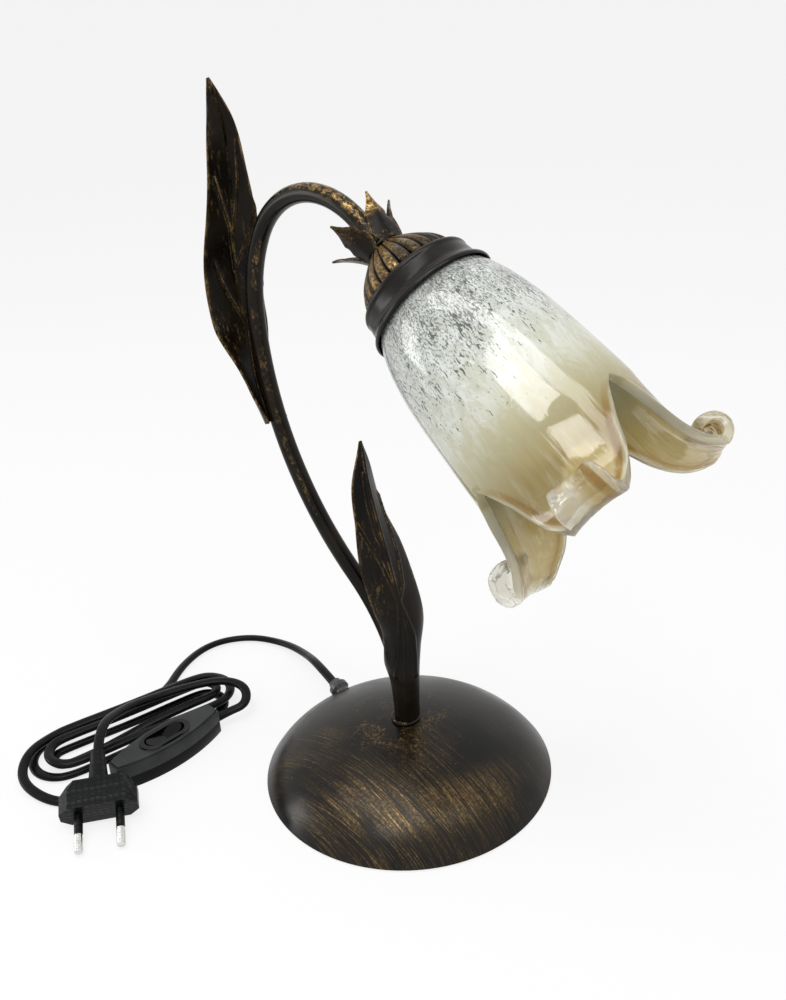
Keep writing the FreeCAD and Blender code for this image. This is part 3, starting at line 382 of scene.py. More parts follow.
def art_glass():
    """Milky neck with dark flecks, running down to honey amber petals with clear rolled tips."""
    f = Finish("art-glass", IOR=1.48)
    run = f.attribute("run")
    rim = f.attribute("rim")
    tip = f.attribute("tip")
    local = f.moved(SHADE_O)

    def drawn(across, along, detail=3.0, rough=0.6, twist=0.3):
        """Noise drawn out along the shade's axis."""
        return f.noise(f.turned((across, across, along), (0.0, 54.5, 0.0), local), 1.0, detail, rough, twist)

    # Flecks: fine and dense by the neck, larger and rarer further down.
    drift = f.math("SUBTRACT", drawn(75.0, 34.0, 3.0, 0.55, 0.5), 0.5)
    level_a = f.math("SUBTRACT", f.step(run, -0.02, 0.58, (0.450, 0.70)), f.both(drift, 0.30))
    level_b = f.math("SUBTRACT", f.step(run, 0.18, 0.62, (0.575, 0.73)), f.both(drift, 0.34))
    fine = f.step(f.math("SUBTRACT", drawn(1900.0, 800.0, 2.5), level_a), 0.0, 0.06)
    coarse = f.step(f.math("SUBTRACT", drawn(1150.0, 290.0, 2.5, 0.55, 0.4), level_b), 0.0, 0.04)
    speck = f.both(f.either(f.both(fine, 0.62), f.both(coarse, 0.86)), f.step(run, 0.66, 0.50))
    milk = drawn(210.0, 90.0, 5.0, 0.66, 0.9)
    flow = drawn(520.0, 16.0, 3.0, 0.55, 0.2)
    # The darkest first stop, right at the band's lip, is painted shade from the band; the later stops are the
    # glass's own colours.
    base = f.ramp(run, [(0.0, (0.30, 0.31, 0.29)), (0.07, (0.45, 0.47, 0.44)), (0.26, (0.54, 0.56, 0.51)),
                        (0.44, (0.55, 0.55, 0.43)), (0.60, (0.52, 0.47, 0.27)), (0.74, (0.50, 0.40, 0.16)),
                        (0.92, (0.60, 0.49, 0.24))])
    cloud = f.both(f.step(milk, 0.42, 0.64), f.step(run, 0.70, 0.36), f.step(run, -0.02, 0.10), 0.62)
    milky = f.mix(cloud, base, (0.74, 0.77, 0.74))
    thread = f.math("ABSOLUTE", f.math("SUBTRACT", drawn(105.0, 60.0, 2.0, 0.5, 1.6), 0.5))
    squiggle = f.both(f.step(thread, 0.007, 0.002), f.step(drift, 0.02, 0.12), f.step(run, 0.58, 0.46), 0.8)
    milky = f.mix(squiggle, milky, (0.86, 0.88, 0.86))
    low = f.step(run, 0.60, 0.74)
    stripe = f.both(f.step(rim, 0.18, 0.50), f.step(rim, 0.99, 0.80))
    streaks = f.both(f.step(flow, 0.50, 0.70), 0.34)
    amber = f.both(f.either(stripe, streaks), low, f.step(tip, 1.0, 0.55, (0.35, 1.0)))
    warm = f.mix(amber, milky, (0.40, 0.245, 0.060))
    # pale lightens some flow streaks and a thin line along the very edge of each petal; that edge line is a
    # painted highlight.
    pale = f.both(f.either(f.both(f.step(flow, 0.46, 0.34), 0.26), f.both(f.step(rim, 0.88, 1.0), 0.7)), low)
    warm = f.mix(pale, warm, (0.80, 0.78, 0.64))
    clear = f.mix(f.both(f.step(tip, 0.30, 0.95), 0.8), warm, (0.90, 0.91, 0.86))
    f.set("Base Color", f.mix(speck, clear, (0.040, 0.045, 0.042)))
    through = f.both(f.step(run, 0.42, 0.86), 0.68)
    f.set("Transmission Weight", f.both(f.math("MAXIMUM", through, f.both(tip, 0.94)),
                                        f.math("SUBTRACT", 1.0, speck)))
    f.set("Roughness", f.step(f.noise(f.place, 45.0, 2.0), 0.3, 0.7, (0.03, 0.09)))
    crinkle = f.noise(f.place, 170.0, 2.0, 0.5, 1.0)
    relief = f.math("ADD", f.both(flow, f.step(run, 0.35, 0.62), 0.35), f.both(crinkle, tip, 0.9))
    f.bump(relief, 0.30, 0.0008)
    return f.mat


MATERIALS = {
    "patina-and-highlight-base": patina("patina-and-highlight-base", rub_and_highlight_base, 0.0, (0.22, 0.36), 0.22),
    "patina-and-highlight-stem": patina("patina-and-highlight-stem", rub_and_highlight_stem, 0.3, (0.16, 0.30), 0.15),
    "patina-leaf": patina("patina-leaf", rub_leaf, 0.6, (0.20, 0.36), 0.11),
    "patina-calyx": patina("patina-calyx", rub_calyx, 0.4, (0.20, 0.36), 0.12),
    "patina-and-highlight-cap": patina("patina-and-highlight-cap", rub_and_highlight_cap, 0.9, (0.20, 0.34), 0.15),
    "patina-small": patina("patina-small", rub_little, 1.2, (0.12, 0.24)),
    "band": satin_band(),
    "iron": metal("cast-iron", (0.08, 0.08, 0.08), (0.16, 0.155, 0.15), (0.55, 0.8), (300.0, 300.0, 300.0)),
    "zinc": metal("zinc-plate", (0.50, 0.50, 0.49), (0.68, 0.68, 0.66), (0.22, 0.4)),
    "brass": metal("brass", (0.55, 0.40, 0.16), (0.75, 0.58, 0.30), (0.2, 0.38)),
    "cap-metal": metal("bulb-cap-metal", (0.60, 0.59, 0.57), (0.78, 0.77, 0.75), (0.2, 0.35)),
    "nickel": metal("nickel", (0.55, 0.545, 0.52), (0.80, 0.79, 0.76), (0.10, 0.20), (200.0, 200.0, 1800.0)),
    "felt": felt(),
    "bushing": bushing_plastic(),
    "holder": plastic("holder-plastic", (0.010, 0.010, 0.010), (0.018, 0.018, 0.018), (0.35, 0.5)),
    "porcelain": porcelain(),
    "bulb": opal_bulb(),
    "sheath": plastic("core-sheath", (0.60, 0.60, 0.58), (0.75, 0.75, 0.72), (0.35, 0.5), 600.0),
    "cord": cord_pvc(),
    "gloss": plastic("switch-gloss", (0.0014, 0.0015, 0.0015), (0.0030, 0.0032, 0.0031), (0.14, 0.24),
                     900.0, 0.03, 0.12),
    "matt": switch_shell(),
    "plug": plug_moulding(),
    "glass": art_glass(),
}


def wear(obj, name):
    obj.data.materials.clear()
    obj.data.materials.append(MATERIALS[name])


CARRIED = {
    "base_dome": "patina-and-highlight-base", "foot_ring": "patina-small", "base_ballast": "iron", "base_pad": "felt",
    "stem_washer": "zinc", "stem_nut": "zinc", "threaded_nipple": "zinc", "lock_nut": "zinc",
    "stem_tube": "patina-and-highlight-stem", "stem_collar": "patina-small", "cord_bushing": "bushing",
    "holder_shell": "holder", "shade_ring": "holder",
    "holder_core": "porcelain", "screw_contact": "brass", "centre_contact": "brass", "bulb_glass": "bulb",
    "bulb_cap": "cap-metal", "inner_cord": "sheath", "switch_base": "gloss", "switch_cover": "matt",
    "switch_rocker": "gloss", "switch_contacts": "brass", "switch_bridge": "brass", "switch_screws": "zinc",
    "plug_body": "plug", "plug_boot": "plug", "plug_pins": "nickel", "pin_sleeves": "plug",
}
for node, name in CARRIED.items():
    wear(nodes[node], name)

# ------------------------------------------------------------------ mesh helpers


def ease(a, b, x):
    q = max(0.0, min(1.0, (x - a) / (b - a)))
    return q * q * (3.0 - 2.0 * q)


def smooth_between(rows, t):
    """Catmull-Rom through equally spaced rows of numbers."""
    last = len(rows) - 1
    i = max(0, min(last - 1, int(t)))
    q = t - i
    a, b, c, d = (rows[max(0, min(last, k))] for k in (i - 1, i, i + 1, i + 2))
    return [0.5 * (2 * q1 + (q2 - q0) * q + (2 * q0 - 5 * q1 + 4 * q2 - q3) * q * q
                   + (3 * q1 - q0 - 3 * q2 + q3) * q * q * q) for q0, q1, q2, q3 in zip(a, b, c, d)]


def sheet_piece(name, rows, marks, material, stands_for, thickness, levels=1, closed_around=False):
    """Grid of points in millimetres, one list a row, given a thickness and smoothed.
    marks holds {attribute: rows of numbers}."""
    count = len(rows[0])
    points = [tuple(c * MM for c in p) for row in rows for p in row]
    faces = []
    wrap = count if closed_around else count - 1
    for i in range(len(rows) - 1):
        for j in range(wrap):
            k = (j + 1) % count
            faces.append((i * count + j, i * count + k, (i + 1) * count + k, (i + 1) * count + j))
    mesh = bpy.data.meshes.new(name)
    mesh.from_pydata(points, [], faces)
    for key, values in marks.items():
        layer = mesh.attributes.new(key, "FLOAT", "POINT")
        layer.data.foreach_set("value", [v for row in values for v in row])
    mesh.shade_smooth()
    obj = bpy.data.objects.new(name, mesh)
    scene.collection.objects.link(obj)
    merge = obj.modifiers.new("merge", "WELD")
    merge.merge_threshold = 0.00002
    solid = obj.modifiers.new("sheet", "SOLIDIFY")
    solid.thickness = thickness * MM
    solid.offset = 0.0
    solid.use_even_offset = False
    if levels:
        smooth = obj.modifiers.new("smooth", "SUBSURF")
        smooth.levels = levels
        smooth.render_levels = levels
    wear(obj, material)
    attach(obj, "lamp")
    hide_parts(stands_for)


# ------------------------------------------------------------------ leaves on the stem

# Midrib point, azimuth of the leaf's back, widths of the two halves, crease, edge angles: as in the source.
LOWER_LEAF = [
    (5.0, -3.6, 31.2, -44, 18.6, 18.6, 4, 170, 170),
    (5.0, -3.7, 37.5, -44, 18.6, 18.6, 4, 168, 168),
    (5.2, -3.9, 44.0, -44, 18.2, 18.6, 4, 154, 160),
    (5.6, -4.1, 50.5, -44, 16.2, 18.2, 5, 122, 152),
    (5.9, -4.2, 58.0, -44, 14.0, 17.4, 6, 84, 138),
    (5.9, -3.3, 69.0, -44, 12.5, 15.8, 9, 60, 114),
    (5.9, -3.3, 81.0, -42, 12.6, 14.4, 12, 48, 84),
    (4.8, -4.6, 98.0, -28, 13.6, 13.4, 18, 44, 46),
    (2.6, -6.8, 118.0, -9, 13.2, 13.0, 20, 36, 36),
    (0.0, -9.4, 138.0, 3, 10.4, 10.4, 20, 32, 32),
    (-2.2, -11.4, 156.0, 8, 7.4, 7.4, 20, 30, 30),
    (-3.6, -12.4, 174.0, 8, 0.7, 0.7, 12, 18, 18),
]
UPPER_LEAF = [
    (-78.1, -1.3, 160.0, 190, 10.0, 10.0, 4, 84, 84),
    (-82.7, -1.1, 172.0, 188, 8.4, 12.0, 4, 62, 60),
    (-85.8, -0.9, 184.0, 186, 8.2, 14.0, 6, 44, 44),
    (-88.3, 0.1, 203.0, 162, 9.8, 16.6, 12, 26, 30),
    (-89.4, -1.0, 217.0, 150, 11.0, 16.0, 14, 24, 28),
    (-88.9, -1.8, 231.0, 145, 12.6, 14.8, 15, 24, 28),
    (-88.4, -0.4, 251.0, 141, 11.6, 12.6, 18, 28, 28),
    (-87.8, 0.5, 272.0, 140, 8.6, 10.2, 20, 30, 30),
    (-87.5, -0.5, 292.0, 144, 5.2, 7.8, 20, 30, 30),
    (-90.0, -3.5, 309.6, 150, 0.7, 0.7, 12, 18, 18),
]
# Embossed veins: lines of (height, distance from the midrib along the sheet), in millimetres.
LOWER_VEINS = [[(96.0, 0.0), (104.0, 1.4), (118.0, 3.7), (140.0, 9.6)],
               [(97.0, 0.0), (104.0, -4.2), (116.0, -6.6), (132.0, -8.2), (146.0, -9.6)],
               [(118.0, 0.2), (131.0, 2.4), (146.0, 2.6), (160.0, 1.2)],
               [(56.0, 5.0), (76.0, 3.0), (97.0, 0.0)],
               [(56.0, -6.0), (78.0, -4.2), (97.0, 0.0)]]
UPPER_VEINS = [[(230.0, 0.0), (240.0, 4.5), (252.0, 9.6), (262.0, 11.0)],
               [(230.0, -0.5), (249.0, -2.0), (260.0, -5.0), (270.0, -7.4)],
               [(206.0, 0.0), (220.0, -5.0), (234.0, -9.6)],
               [(206.0, 0.0), (214.0, 6.0), (226.0, 12.6)],
               [(250.0, 0.5), (268.0, 3.4), (284.0, 4.4)]]


def near_line(line, z, w, reach):
    """1 on the line and 0 at reach or more from it."""
    best = 1e9
    for (z0, w0), (z1, w1) in zip(line, line[1:]):
        dz, dw = z1 - z0, w1 - w0
        q = max(0.0, min(1.0, ((z - z0) * dz + (w - w0) * dw) / (dz * dz + dw * dw)))
        best = min(best, math.hypot(z - z0 - q * dz, w - w0 - q * dw))
    return 1.0 - ease(0.0, reach, best)


LEAF_THICKNESS = 0.8
VEIN_REACH, VEIN_DEPTH = 1.1, 0.8
MIDRIB_REACH, MIDRIB_SHARE = 1.0, 0.8


def stem_leaf(name, stations, veins, node, steps=150, half=24):
    """Stamped leaf, bent round the tube at its foot, with pressed veins and a slightly wavy edge."""
    rows, edge, rib, tip = [], [], [], []
    last = len(stations) - 1
    for i in range(steps + 1):
        t = last * i / steps
        x, y, z, azimuth, wide_a, wide_b, crease, edge_a, edge_b = smooth_between(stations, t)
        ahead = smooth_between(stations, min(last, t + 0.05))
        behind = smooth_between(stations, max(0, t - 0.05))
        up = (Vector(ahead[:3]) - Vector(behind[:3])).normalized()
        a = math.radians(azimuth)
        front = Vector((-math.cos(a), -math.sin(a), 0.0))
        side = up.cross(front).normalized()
        front = side.cross(up).normalized()
        a0 = math.radians(crease)
        row, row_edge, row_rib, row_tip = [], [], [], []
        for j in range(-half, half + 1):
            way = 1.0 if j >= 0 else -1.0
            width, limit = (wide_a, edge_a) if j >= 0 else (wide_b, edge_b)
            width = max(width, 0.4)
            share = abs(j) / half
            bend = (math.radians(limit) - a0) / width
            angle = a0 + bend * width * share
            w = way * width * share
            midrib = MIDRIB_SHARE * (1.0 - ease(0.0, MIDRIB_REACH, abs(w)))
            groove = max([near_line(line, z, w, VEIN_REACH) for line in veins] + [midrib])
            fade = ease(0.0, 6.0, stations[-1][2] - z)
            wave = 0.45 * math.sin(z * 0.16 + 2.0 * way) * share ** 2 * ease(20.0, 45.0, z - stations[0][2])
            shift = LEAF_THICKNESS / 2 - VEIN_DEPTH * groove * fade + wave * fade
            px = (math.sin(angle) - math.sin(a0)) / bend - shift * math.sin(angle)
            py = (math.cos(a0) - math.cos(angle)) / bend + shift * math.cos(angle)
            row.append(Vector((x, y, z)) + side * (px * way) + front * py)
            row_edge.append(ease(0.86, 1.0, share))
            row_rib.append(groove)
            row_tip.append(ease(stations[-1][2] - 26.0, stations[-1][2] - 4.0, z))
        rows.append(row)
        edge.append(row_edge)
        rib.append(row_rib)
        tip.append(row_tip)
    sheet_piece(name, rows, {"edge": edge, "rib": rib, "tip": tip}, "patina-leaf", node,
                LEAF_THICKNESS, levels=0)


stem_leaf("leaf-lower", LOWER_LEAF, LOWER_VEINS, "lower_leaf")
stem_leaf("leaf-upper", UPPER_LEAF, UPPER_VEINS, "upper_leaf")

# ------------------------------------------------------------------ shade head

O_MM = Vector(SHADE_O) / MM
AXIS = Vector(SHADE_A)
UP = Vector(SHADE_V)
ACROSS = Vector((0.0, 1.0, 0.0))


def shade_point(x, y, z):
    return O_MM + ACROSS * x + UP * y + AXIS * z


# Angle about the axis, lean from it at root and tip, length, half width, twist of the tip.
CALYX = [(92.0, 4.0, 26.0, 20.0, 5.4), (182.0, 8.0, 28.0, 19.2, 5.4),
         (256.0, 26.0, 50.0, 21.2, 5.0), (15.0, 14.0, 36.0, 21.6, 5.0)]
# Share of the length, share of the width.
LOBES = [(0.0, 0.74), (0.12, 0.90), (0.28, 1.0), (0.40, 0.97), (0.48, 0.80), (0.54, 0.78), (0.60, 0.84),
         (0.68, 0.64), (0.78, 0.38), (0.90, 0.17), (1.0, 0.03)]
CALYX_SPREAD = 1.2
CALYX_ROOT = (7.6, -30.2)
CALYX_THICKNESS = 0.6


def lobe_width(share):
    for (a, wa), (b, wb) in zip(LOBES, LOBES[1:]):
        if share <= b:
            return wa + (wb - wa) * (share - a) / (b - a)
    return LOBES[-1][1]


def calyx_leaf(index, around, lean_root, lean_tip, length, width):
    steps, half = 48, 10
    a = math.radians(around)
    out = ACROSS * math.cos(a) + UP * math.sin(a)
    side = AXIS.cross(out)
    point = shade_point(CALYX_ROOT[0] * math.cos(a), CALYX_ROOT[0] * math.sin(a), CALYX_ROOT[1])
    rows, edge, tip = [], [], []
    for i in range(steps + 1):
        s = i / steps
        lean = math.radians(lean_root + (lean_tip - lean_root) * s)
        along = out * math.sin(lean) - AXIS * math.cos(lean)
        normal = (out * math.cos(lean) + AXIS * math.sin(lean)).normalized()
        w = width * CALYX_SPREAD * lobe_width(s)
        row = []
        for j in range(-half, half + 1):
            u = j / half
            # Cupped towards the stem, creased in the middle, with a curled lip on the lobes.
            cup = -0.20 * w * abs(u) ** 1.6 + 0.5 * (1.0 - abs(u))
            curl = 0.7 * math.sin(8.0 * s + index * 1.7 + (1.6 if u > 0 else 0.0)) * abs(u) ** 2 * (1.0 - s)
            sweep = -1.3 * abs(u) ** 1.5 * (1.0 - s)
            row.append(point + side * (w * u) + normal * (cup + curl) + along * sweep)
        rows.append(row)
        edge.append([ease(0.7, 1.0, abs(j / half)) for j in range(-half, half + 1)])
        tip.append([ease(0.50, 0.72, s) * (1.0 if index == 0 else 0.2)] * (2 * half + 1))
        point = point + along * (length / steps)
    sheet_piece("calyx-leaf-%d" % (index + 1), rows, {"edge": edge, "tip": tip}, "patina-calyx",
                "calyx", CALYX_THICKNESS)


def calyx_disc():
    """Dished washer that the calyx leaves grow from."""
    rows = []
    for r, z in ((5.3, -30.3), (6.4, -30.3), (7.4, -30.5), (8.0, -30.9)):
        rows.append([shade_point(r * math.cos(math.radians(q)), r * math.sin(math.radians(q)), z)
                     for q in range(0, 360, 10)])
    flat = [[0.0] * 36 for _ in rows]
    sheet_piece("calyx-disc", rows, {"edge": flat, "tip": flat}, "patina-calyx", "calyx",
                CALYX_THICKNESS, closed_around=True)


EYELET_TURN = 136.0
EYELET_AT = (7.9, -31.4)
EYELET_RING, EYELET_WIRE = 1.75, 0.5


def calyx_eyelet():
    """Small rimmed hole where the two front leaves meet."""
    a = math.radians(EYELET_TURN)
    out = ACROSS * math.cos(a) + UP * math.sin(a)
    side = AXIS.cross(out)
    normal = (out * 0.75 - AXIS * 0.66).normalized()
    over = normal.cross(side)
    centre = shade_point(EYELET_AT[0] * math.cos(a), EYELET_AT[0] * math.sin(a), EYELET_AT[1])
    profile = [(0.05, -0.5), (0.7, -0.5), (1.15, -0.4)]
    for angle in (200, 160, 120, 80, 40, 0, -40):
        p = math.radians(angle)
        profile.append((EYELET_RING + EYELET_WIRE * math.cos(p), EYELET_WIRE * math.sin(p)))
    rows = []
    for r, lift in profile:
        rows.append([centre + (side * math.cos(math.radians(q)) + over * math.sin(math.radians(q))) * r
                     + normal * lift for q in range(0, 360, 15)])
    sheet_piece("calyx-eyelet", rows, {}, "patina-small", "calyx", 0.25, closed_around=True)


# Places along the shade's axis with the radius there, of the fluted cap and of the band below it.
CAP = [(-12.6, 19.3), (-13.3, 20.1), (-14.8, 20.3), (-17.2, 19.4), (-20.2, 17.6), (-23.2, 15.0),
       (-26.2, 11.8), (-28.8, 8.8), (-30.3, 7.0)]
FLUTES = 24
FLUTE_DEPTH = 2.1
PRESSED = 0.7
BAND = [(-12.1, 15.0), (-12.1, 20.6), (-12.2, 22.4), (-11.6, 23.5), (-10.6, 23.8), (-9.9, 23.45),
        (-9.2, 23.5), (-6.4, 23.9), (-4.2, 24.3), (-2.9, 25.0), (-1.9, 26.1), (-1.0, 26.75),
        (-0.2, 26.75), (0.2, 26.4)]


def fluted_cap(steps=36, columns=14):
    """Pressed cap of rounded flutes that meet in sharp valleys."""
    rows, crest = [], []
    for i in range(steps + 1):
        z, r = smooth_between(CAP, (len(CAP) - 1) * i / steps)
        deep = FLUTE_DEPTH * (0.25 + 0.75 * ease(-30.0, -22.0, z))
        row, marks = [], []
        for k in range(FLUTES * columns):
            p = 2.0 * (k % columns) / columns - 1.0
            lobe = math.sqrt(1.0 - 0.97 * p * p)
            q = 2.0 * math.pi * k / (FLUTES * columns)
            at = r - deep * (1.0 - lobe)
            row.append(shade_point(at * math.cos(q), at * math.sin(q), z))
            marks.append(lobe)
        rows.append(row)
        crest.append(marks)
    sheet_piece("cap-flutes", rows, {"crest": crest}, "patina-and-highlight-cap", "fluted_cap", PRESSED,
                levels=0, closed_around=True)


def shade_band(columns=96):
    """Smooth flared band that holds the glass."""
    turns = [2.0 * math.pi * k / columns for k in range(columns)]
    rows = [[shade_point(r * math.cos(q), r * math.sin(q), z) for q in turns] for z, r in BAND]
    sheet_piece("band-shell", rows, {}, "band", "shade_band", PRESSED, closed_around=True)


calyx_disc()
calyx_eyelet()
fluted_cap()
shade_band()
for index, leaf in enumerate(CALYX):
    calyx_leaf(index, *leaf)

# ------------------------------------------------------------------ glass shade

# The middle of the glass: along the axis, off the axis, half the spread of one petal in degrees,
# radius of the cross-section. The first rows are the blown body.
BODY = [(-8.7, 14.6), (-8.7, 16.4), (-7.0, 18.6), (-4.6, 20.6), (-1.6, 22.7), (2.0, 24.6), (8.0, 26.9),
        (16.0, 29.0), (26.0, 30.8), (36.0, 31.9), (46.0, 32.7), (56.0, 33.5), (64.0, 34.1)]
RISE = [(68.0, 34.3, 59.5, 34.3), (70.0, 34.35, 54.0, 34.4), (73.5, 34.5, 48.0, 34.6),
        (78.5, 34.9, 42.5, 35.0), (84.5, 35.5, 37.0, 35.6), (90.5, 36.5, 32.0, 37.0),
        (95.6, 38.1, 26.5, 39.0), (99.8, 40.7, 20.5, 43.0)]
BODY_HALF = 60.0
PETAL_FROM = 68.0
TIP_ACROSS = 52.0
WALL = 4.1
RUN_LENGTH = 110.0
ROLL_C = (99.0, 47.0)
ROLL_R = 4.9
ROLL = [(-42.0, 13.0), (-20.0, 12.0), (0.0, 11.1), (45.0, 10.5), (90.0, 10.1), (130.0, 9.6), (160.0, 8.6),
        (190.0, 6.8), (208.0, 4.8), (220.0, 2.6), (226.0, 0.6)]
# Angle about the axis, how much longer and wider than the mean, radius of the roll, its width against the
# mean, how clear the tip is at one side and at the other.
PETALS = [(144.0, -2.0, 0.0, 5.0, 1.0, 0.85, 0.15), (28.0, 1.2, -3.0, 4.9, 0.78, 0.30, 0.30),
          (260.0, -5.2, 3.4, 6.0, 0.94, 1.0, 0.9)]


def petal_rows(longer, wider, roll_r, slim):
    """(along, off, half chord, cross radius, share of the way to a tilted section) a row."""
    rows = [(z, r, r * math.sin(math.radians(BODY_HALF)), r, 0.0) for z, r in BODY]
    for z, r, spread, across in RISE:
        share = (z - PETAL_FROM) / (ROLL_C[0] - PETAL_FROM)
        rows.append((z + longer * share, r + wider * share, across * math.sin(math.radians(spread)), across,
                     ease(0.0, 0.25, share)))
    start = math.radians(ROLL[0][0])
    centre_z = ROLL_C[0] + longer - (roll_r - ROLL_R) * math.cos(start)
    centre_r = ROLL_C[1] + wider - (roll_r - ROLL_R) * math.sin(start)
    for angle, half in ROLL:
        a = math.radians(angle)
        narrow = 1.0 - (1.0 - slim) * ease(-60.0, 60.0, angle)
        rows.append((centre_z + roll_r * math.cos(a), centre_r + roll_r * math.sin(a), half * narrow,
                     TIP_ACROSS, 1.0))
    return rows


def side_spread(index, way):
    """Half the blown body's share for one petal, up to midway to its neighbour on one side."""
    turns = [petal[0] for petal in PETALS]
    gaps = [(way * (other - turns[index])) % 360.0 for other in turns]
    return min(gap for gap in gaps if gap > 1.0) / 2.0


def glass_petal(index, turn, longer, wider, roll_r, slim, clear_a, clear_b):
    """Rows from the neck to the end of one rolled tip, and what each point holds for the material."""
    half = 24
    knots = petal_rows(longer, wider, roll_r, slim)
    sides = {way: side_spread(index, way) / BODY_HALF for way in (1.0, -1.0)}
    last = len(knots) - 1
    first_rise = len(BODY)
    first_roll = first_rise + len(RISE)
    steps = last * 4
    rows, run, rim, tip, thick = [], [], [], [], []
    a = math.radians(turn)
    for i in range(steps + 1):
        t = last * i / steps
        z, r, chord, across, tilt = smooth_between(knots, t)
        if t <= first_rise - 1:
            chord, across, tilt = r * math.sin(math.radians(BODY_HALF)), r, 0.0
        ahead = smooth_between(knots, min(last, t + 0.1))
        behind = smooth_between(knots, max(0, t - 0.1))
        dz, dr = ahead[0] - behind[0], ahead[1] - behind[1]
        size = math.hypot(dz, dr)
        dz, dr = (1.0 - tilt) + tilt * dz / size, tilt * dr / size
        size = math.hypot(dz, dr)
        dz, dr = dz / size, dr / size
        spread = math.asin(max(0.0, min(0.9999, chord / across)))
        if t <= first_rise - 1:
            spread = math.radians(BODY_HALF)
        on_tip = ease(first_roll - 1.0, first_roll + 3.0, t)
        row, row_run, row_rim, row_tip, row_thick = [], [], [], [], []
        for j in range(-half, half + 1):
            u = j / half
            body = 1.0 - ease(first_rise - 1.0, first_rise + 2.0, t)
            q = u * spread * (1.0 + (sides[1.0 if u > 0 else -1.0] - 1.0) * body)
            theta = a + q
            # The blown wall isn't quite true: soft flutes towards the petals, crinkles on the tips.
            flute = 0.42 * math.sin(7.0 * theta + 1.3) * ease(3.0, 11.0, t) * (1.0 - on_tip)
            ridge = 0.08 * math.sin(23.0 * theta + 1.4 * math.sin(0.5 * t)) * math.sin(2.0 * theta + 0.4)
            flute += ridge * ease(7.0, 14.0, t) * (1.0 - 0.6 * on_tip)
            grain = Vector((3.1 * index + 0.16 * i, 0.9 * u * 4.0, 1.7))
            crinkle = 0.40 * noise.noise(grain * 1.1) * on_tip
            deep = across + flute * 0.7 + crinkle
            mid_r = r - dz * across
            mid_z = z + dr * across
            off = mid_r + dz * math.cos(q) * deep
            lon = mid_z - dr * math.cos(q) * deep
            sideways = math.sin(q) * deep
            row.append(shade_point(off * math.cos(a) - sideways * math.sin(a),
                                   off * math.sin(a) + sideways * math.cos(a), lon))
            from_edge = (1.0 - abs(u)) * spread * across
            petal_part = ease(first_rise - 0.5, first_rise + 2.0, t)
            way_down = lon if t < first_roll else knots[first_roll][0] + (t - first_roll) * 2.0
            row_run.append(way_down / RUN_LENGTH)
            row_rim.append((1.0 - ease(1.0, 7.5, from_edge)) * petal_part)
            row_tip.append(on_tip * (clear_b + (clear_a - clear_b) * ease(-0.6, 0.4, u)))
            lip = petal_part * (1.0 - ease(0.0, 4.0, from_edge)) * 0.6
            row_thick.append(0.72 + 0.28 * max(on_tip, lip))
        rows.append(row)
        run.append(row_run)
        rim.append(row_rim)
        tip.append(row_tip)
        thick.append(row_thick)
    return rows, run, rim, tip, thick


def glass_shade():
    """The three petals welded into one blown wall."""
    parts = [glass_petal(k, *petal) for k, petal in enumerate(PETALS)]
    points, faces, data, weight = [], [], {"run": [], "rim": [], "tip": []}, []
    for rows, run, rim, tip, thick in parts:
        start = len(points)
        count = len(rows[0])
        points += [tuple(c * MM for c in p) for row in rows for p in row]
        for key, values in (("run", run), ("rim", rim), ("tip", tip)):
            data[key] += [v for row in values for v in row]
        weight += [v for row in thick for v in row]
        for i in range(len(rows) - 1):
            for j in range(count - 1):
                faces.append((start + i * count + j, start + i * count + j + 1,
                              start + (i + 1) * count + j + 1, start + (i + 1) * count + j))
    mesh = bpy.data.meshes.new("glass-shade")
    mesh.from_pydata(points, [], faces)
    for key, values in data.items():
        mesh.attributes.new(key, "FLOAT", "POINT").data.foreach_set("value", values)
    mesh.shade_smooth()
    obj = bpy.data.objects.new("glass-shade", mesh)
    scene.collection.objects.link(obj)
    group = obj.vertex_groups.new(name="thick")
    for index, value in enumerate(weight):
        group.add([index], value, "REPLACE")
    obj.modifiers.new("merge", "WELD").merge_threshold = 0.0004
    solid = obj.modifiers.new("wall", "SOLIDIFY")
    solid.thickness = WALL * MM
    solid.offset = 0.0
    solid.vertex_group = "thick"
    smooth = obj.modifiers.new("smooth", "SUBSURF")
    smooth.levels = 1
    smooth.render_levels = 1
    wear(obj, "glass")
    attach(obj, "lamp")
    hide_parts("glass_shade")


glass_shade()

# ------------------------------------------------------------------ cords

HANK_C = Vector((-123.0, -72.0, 0.0))
HANK_A = math.radians(78.5)
HANK_ALONG = Vector((math.cos(HANK_A), math.sin(HANK_A), 0.0))
HANK_ACROSS = Vector((-math.sin(HANK_A), math.cos(HANK_A), 0.0))
LOW, HIGH = 2.5, 7.8
FLEX_HALF, FLEX_SINK = (2.4, 1.7), 0.6


def hank_point(along, across, z):
    return HANK_C + HANK_ALONG * along + HANK_ACROSS * across + Vector((0, 0, z))


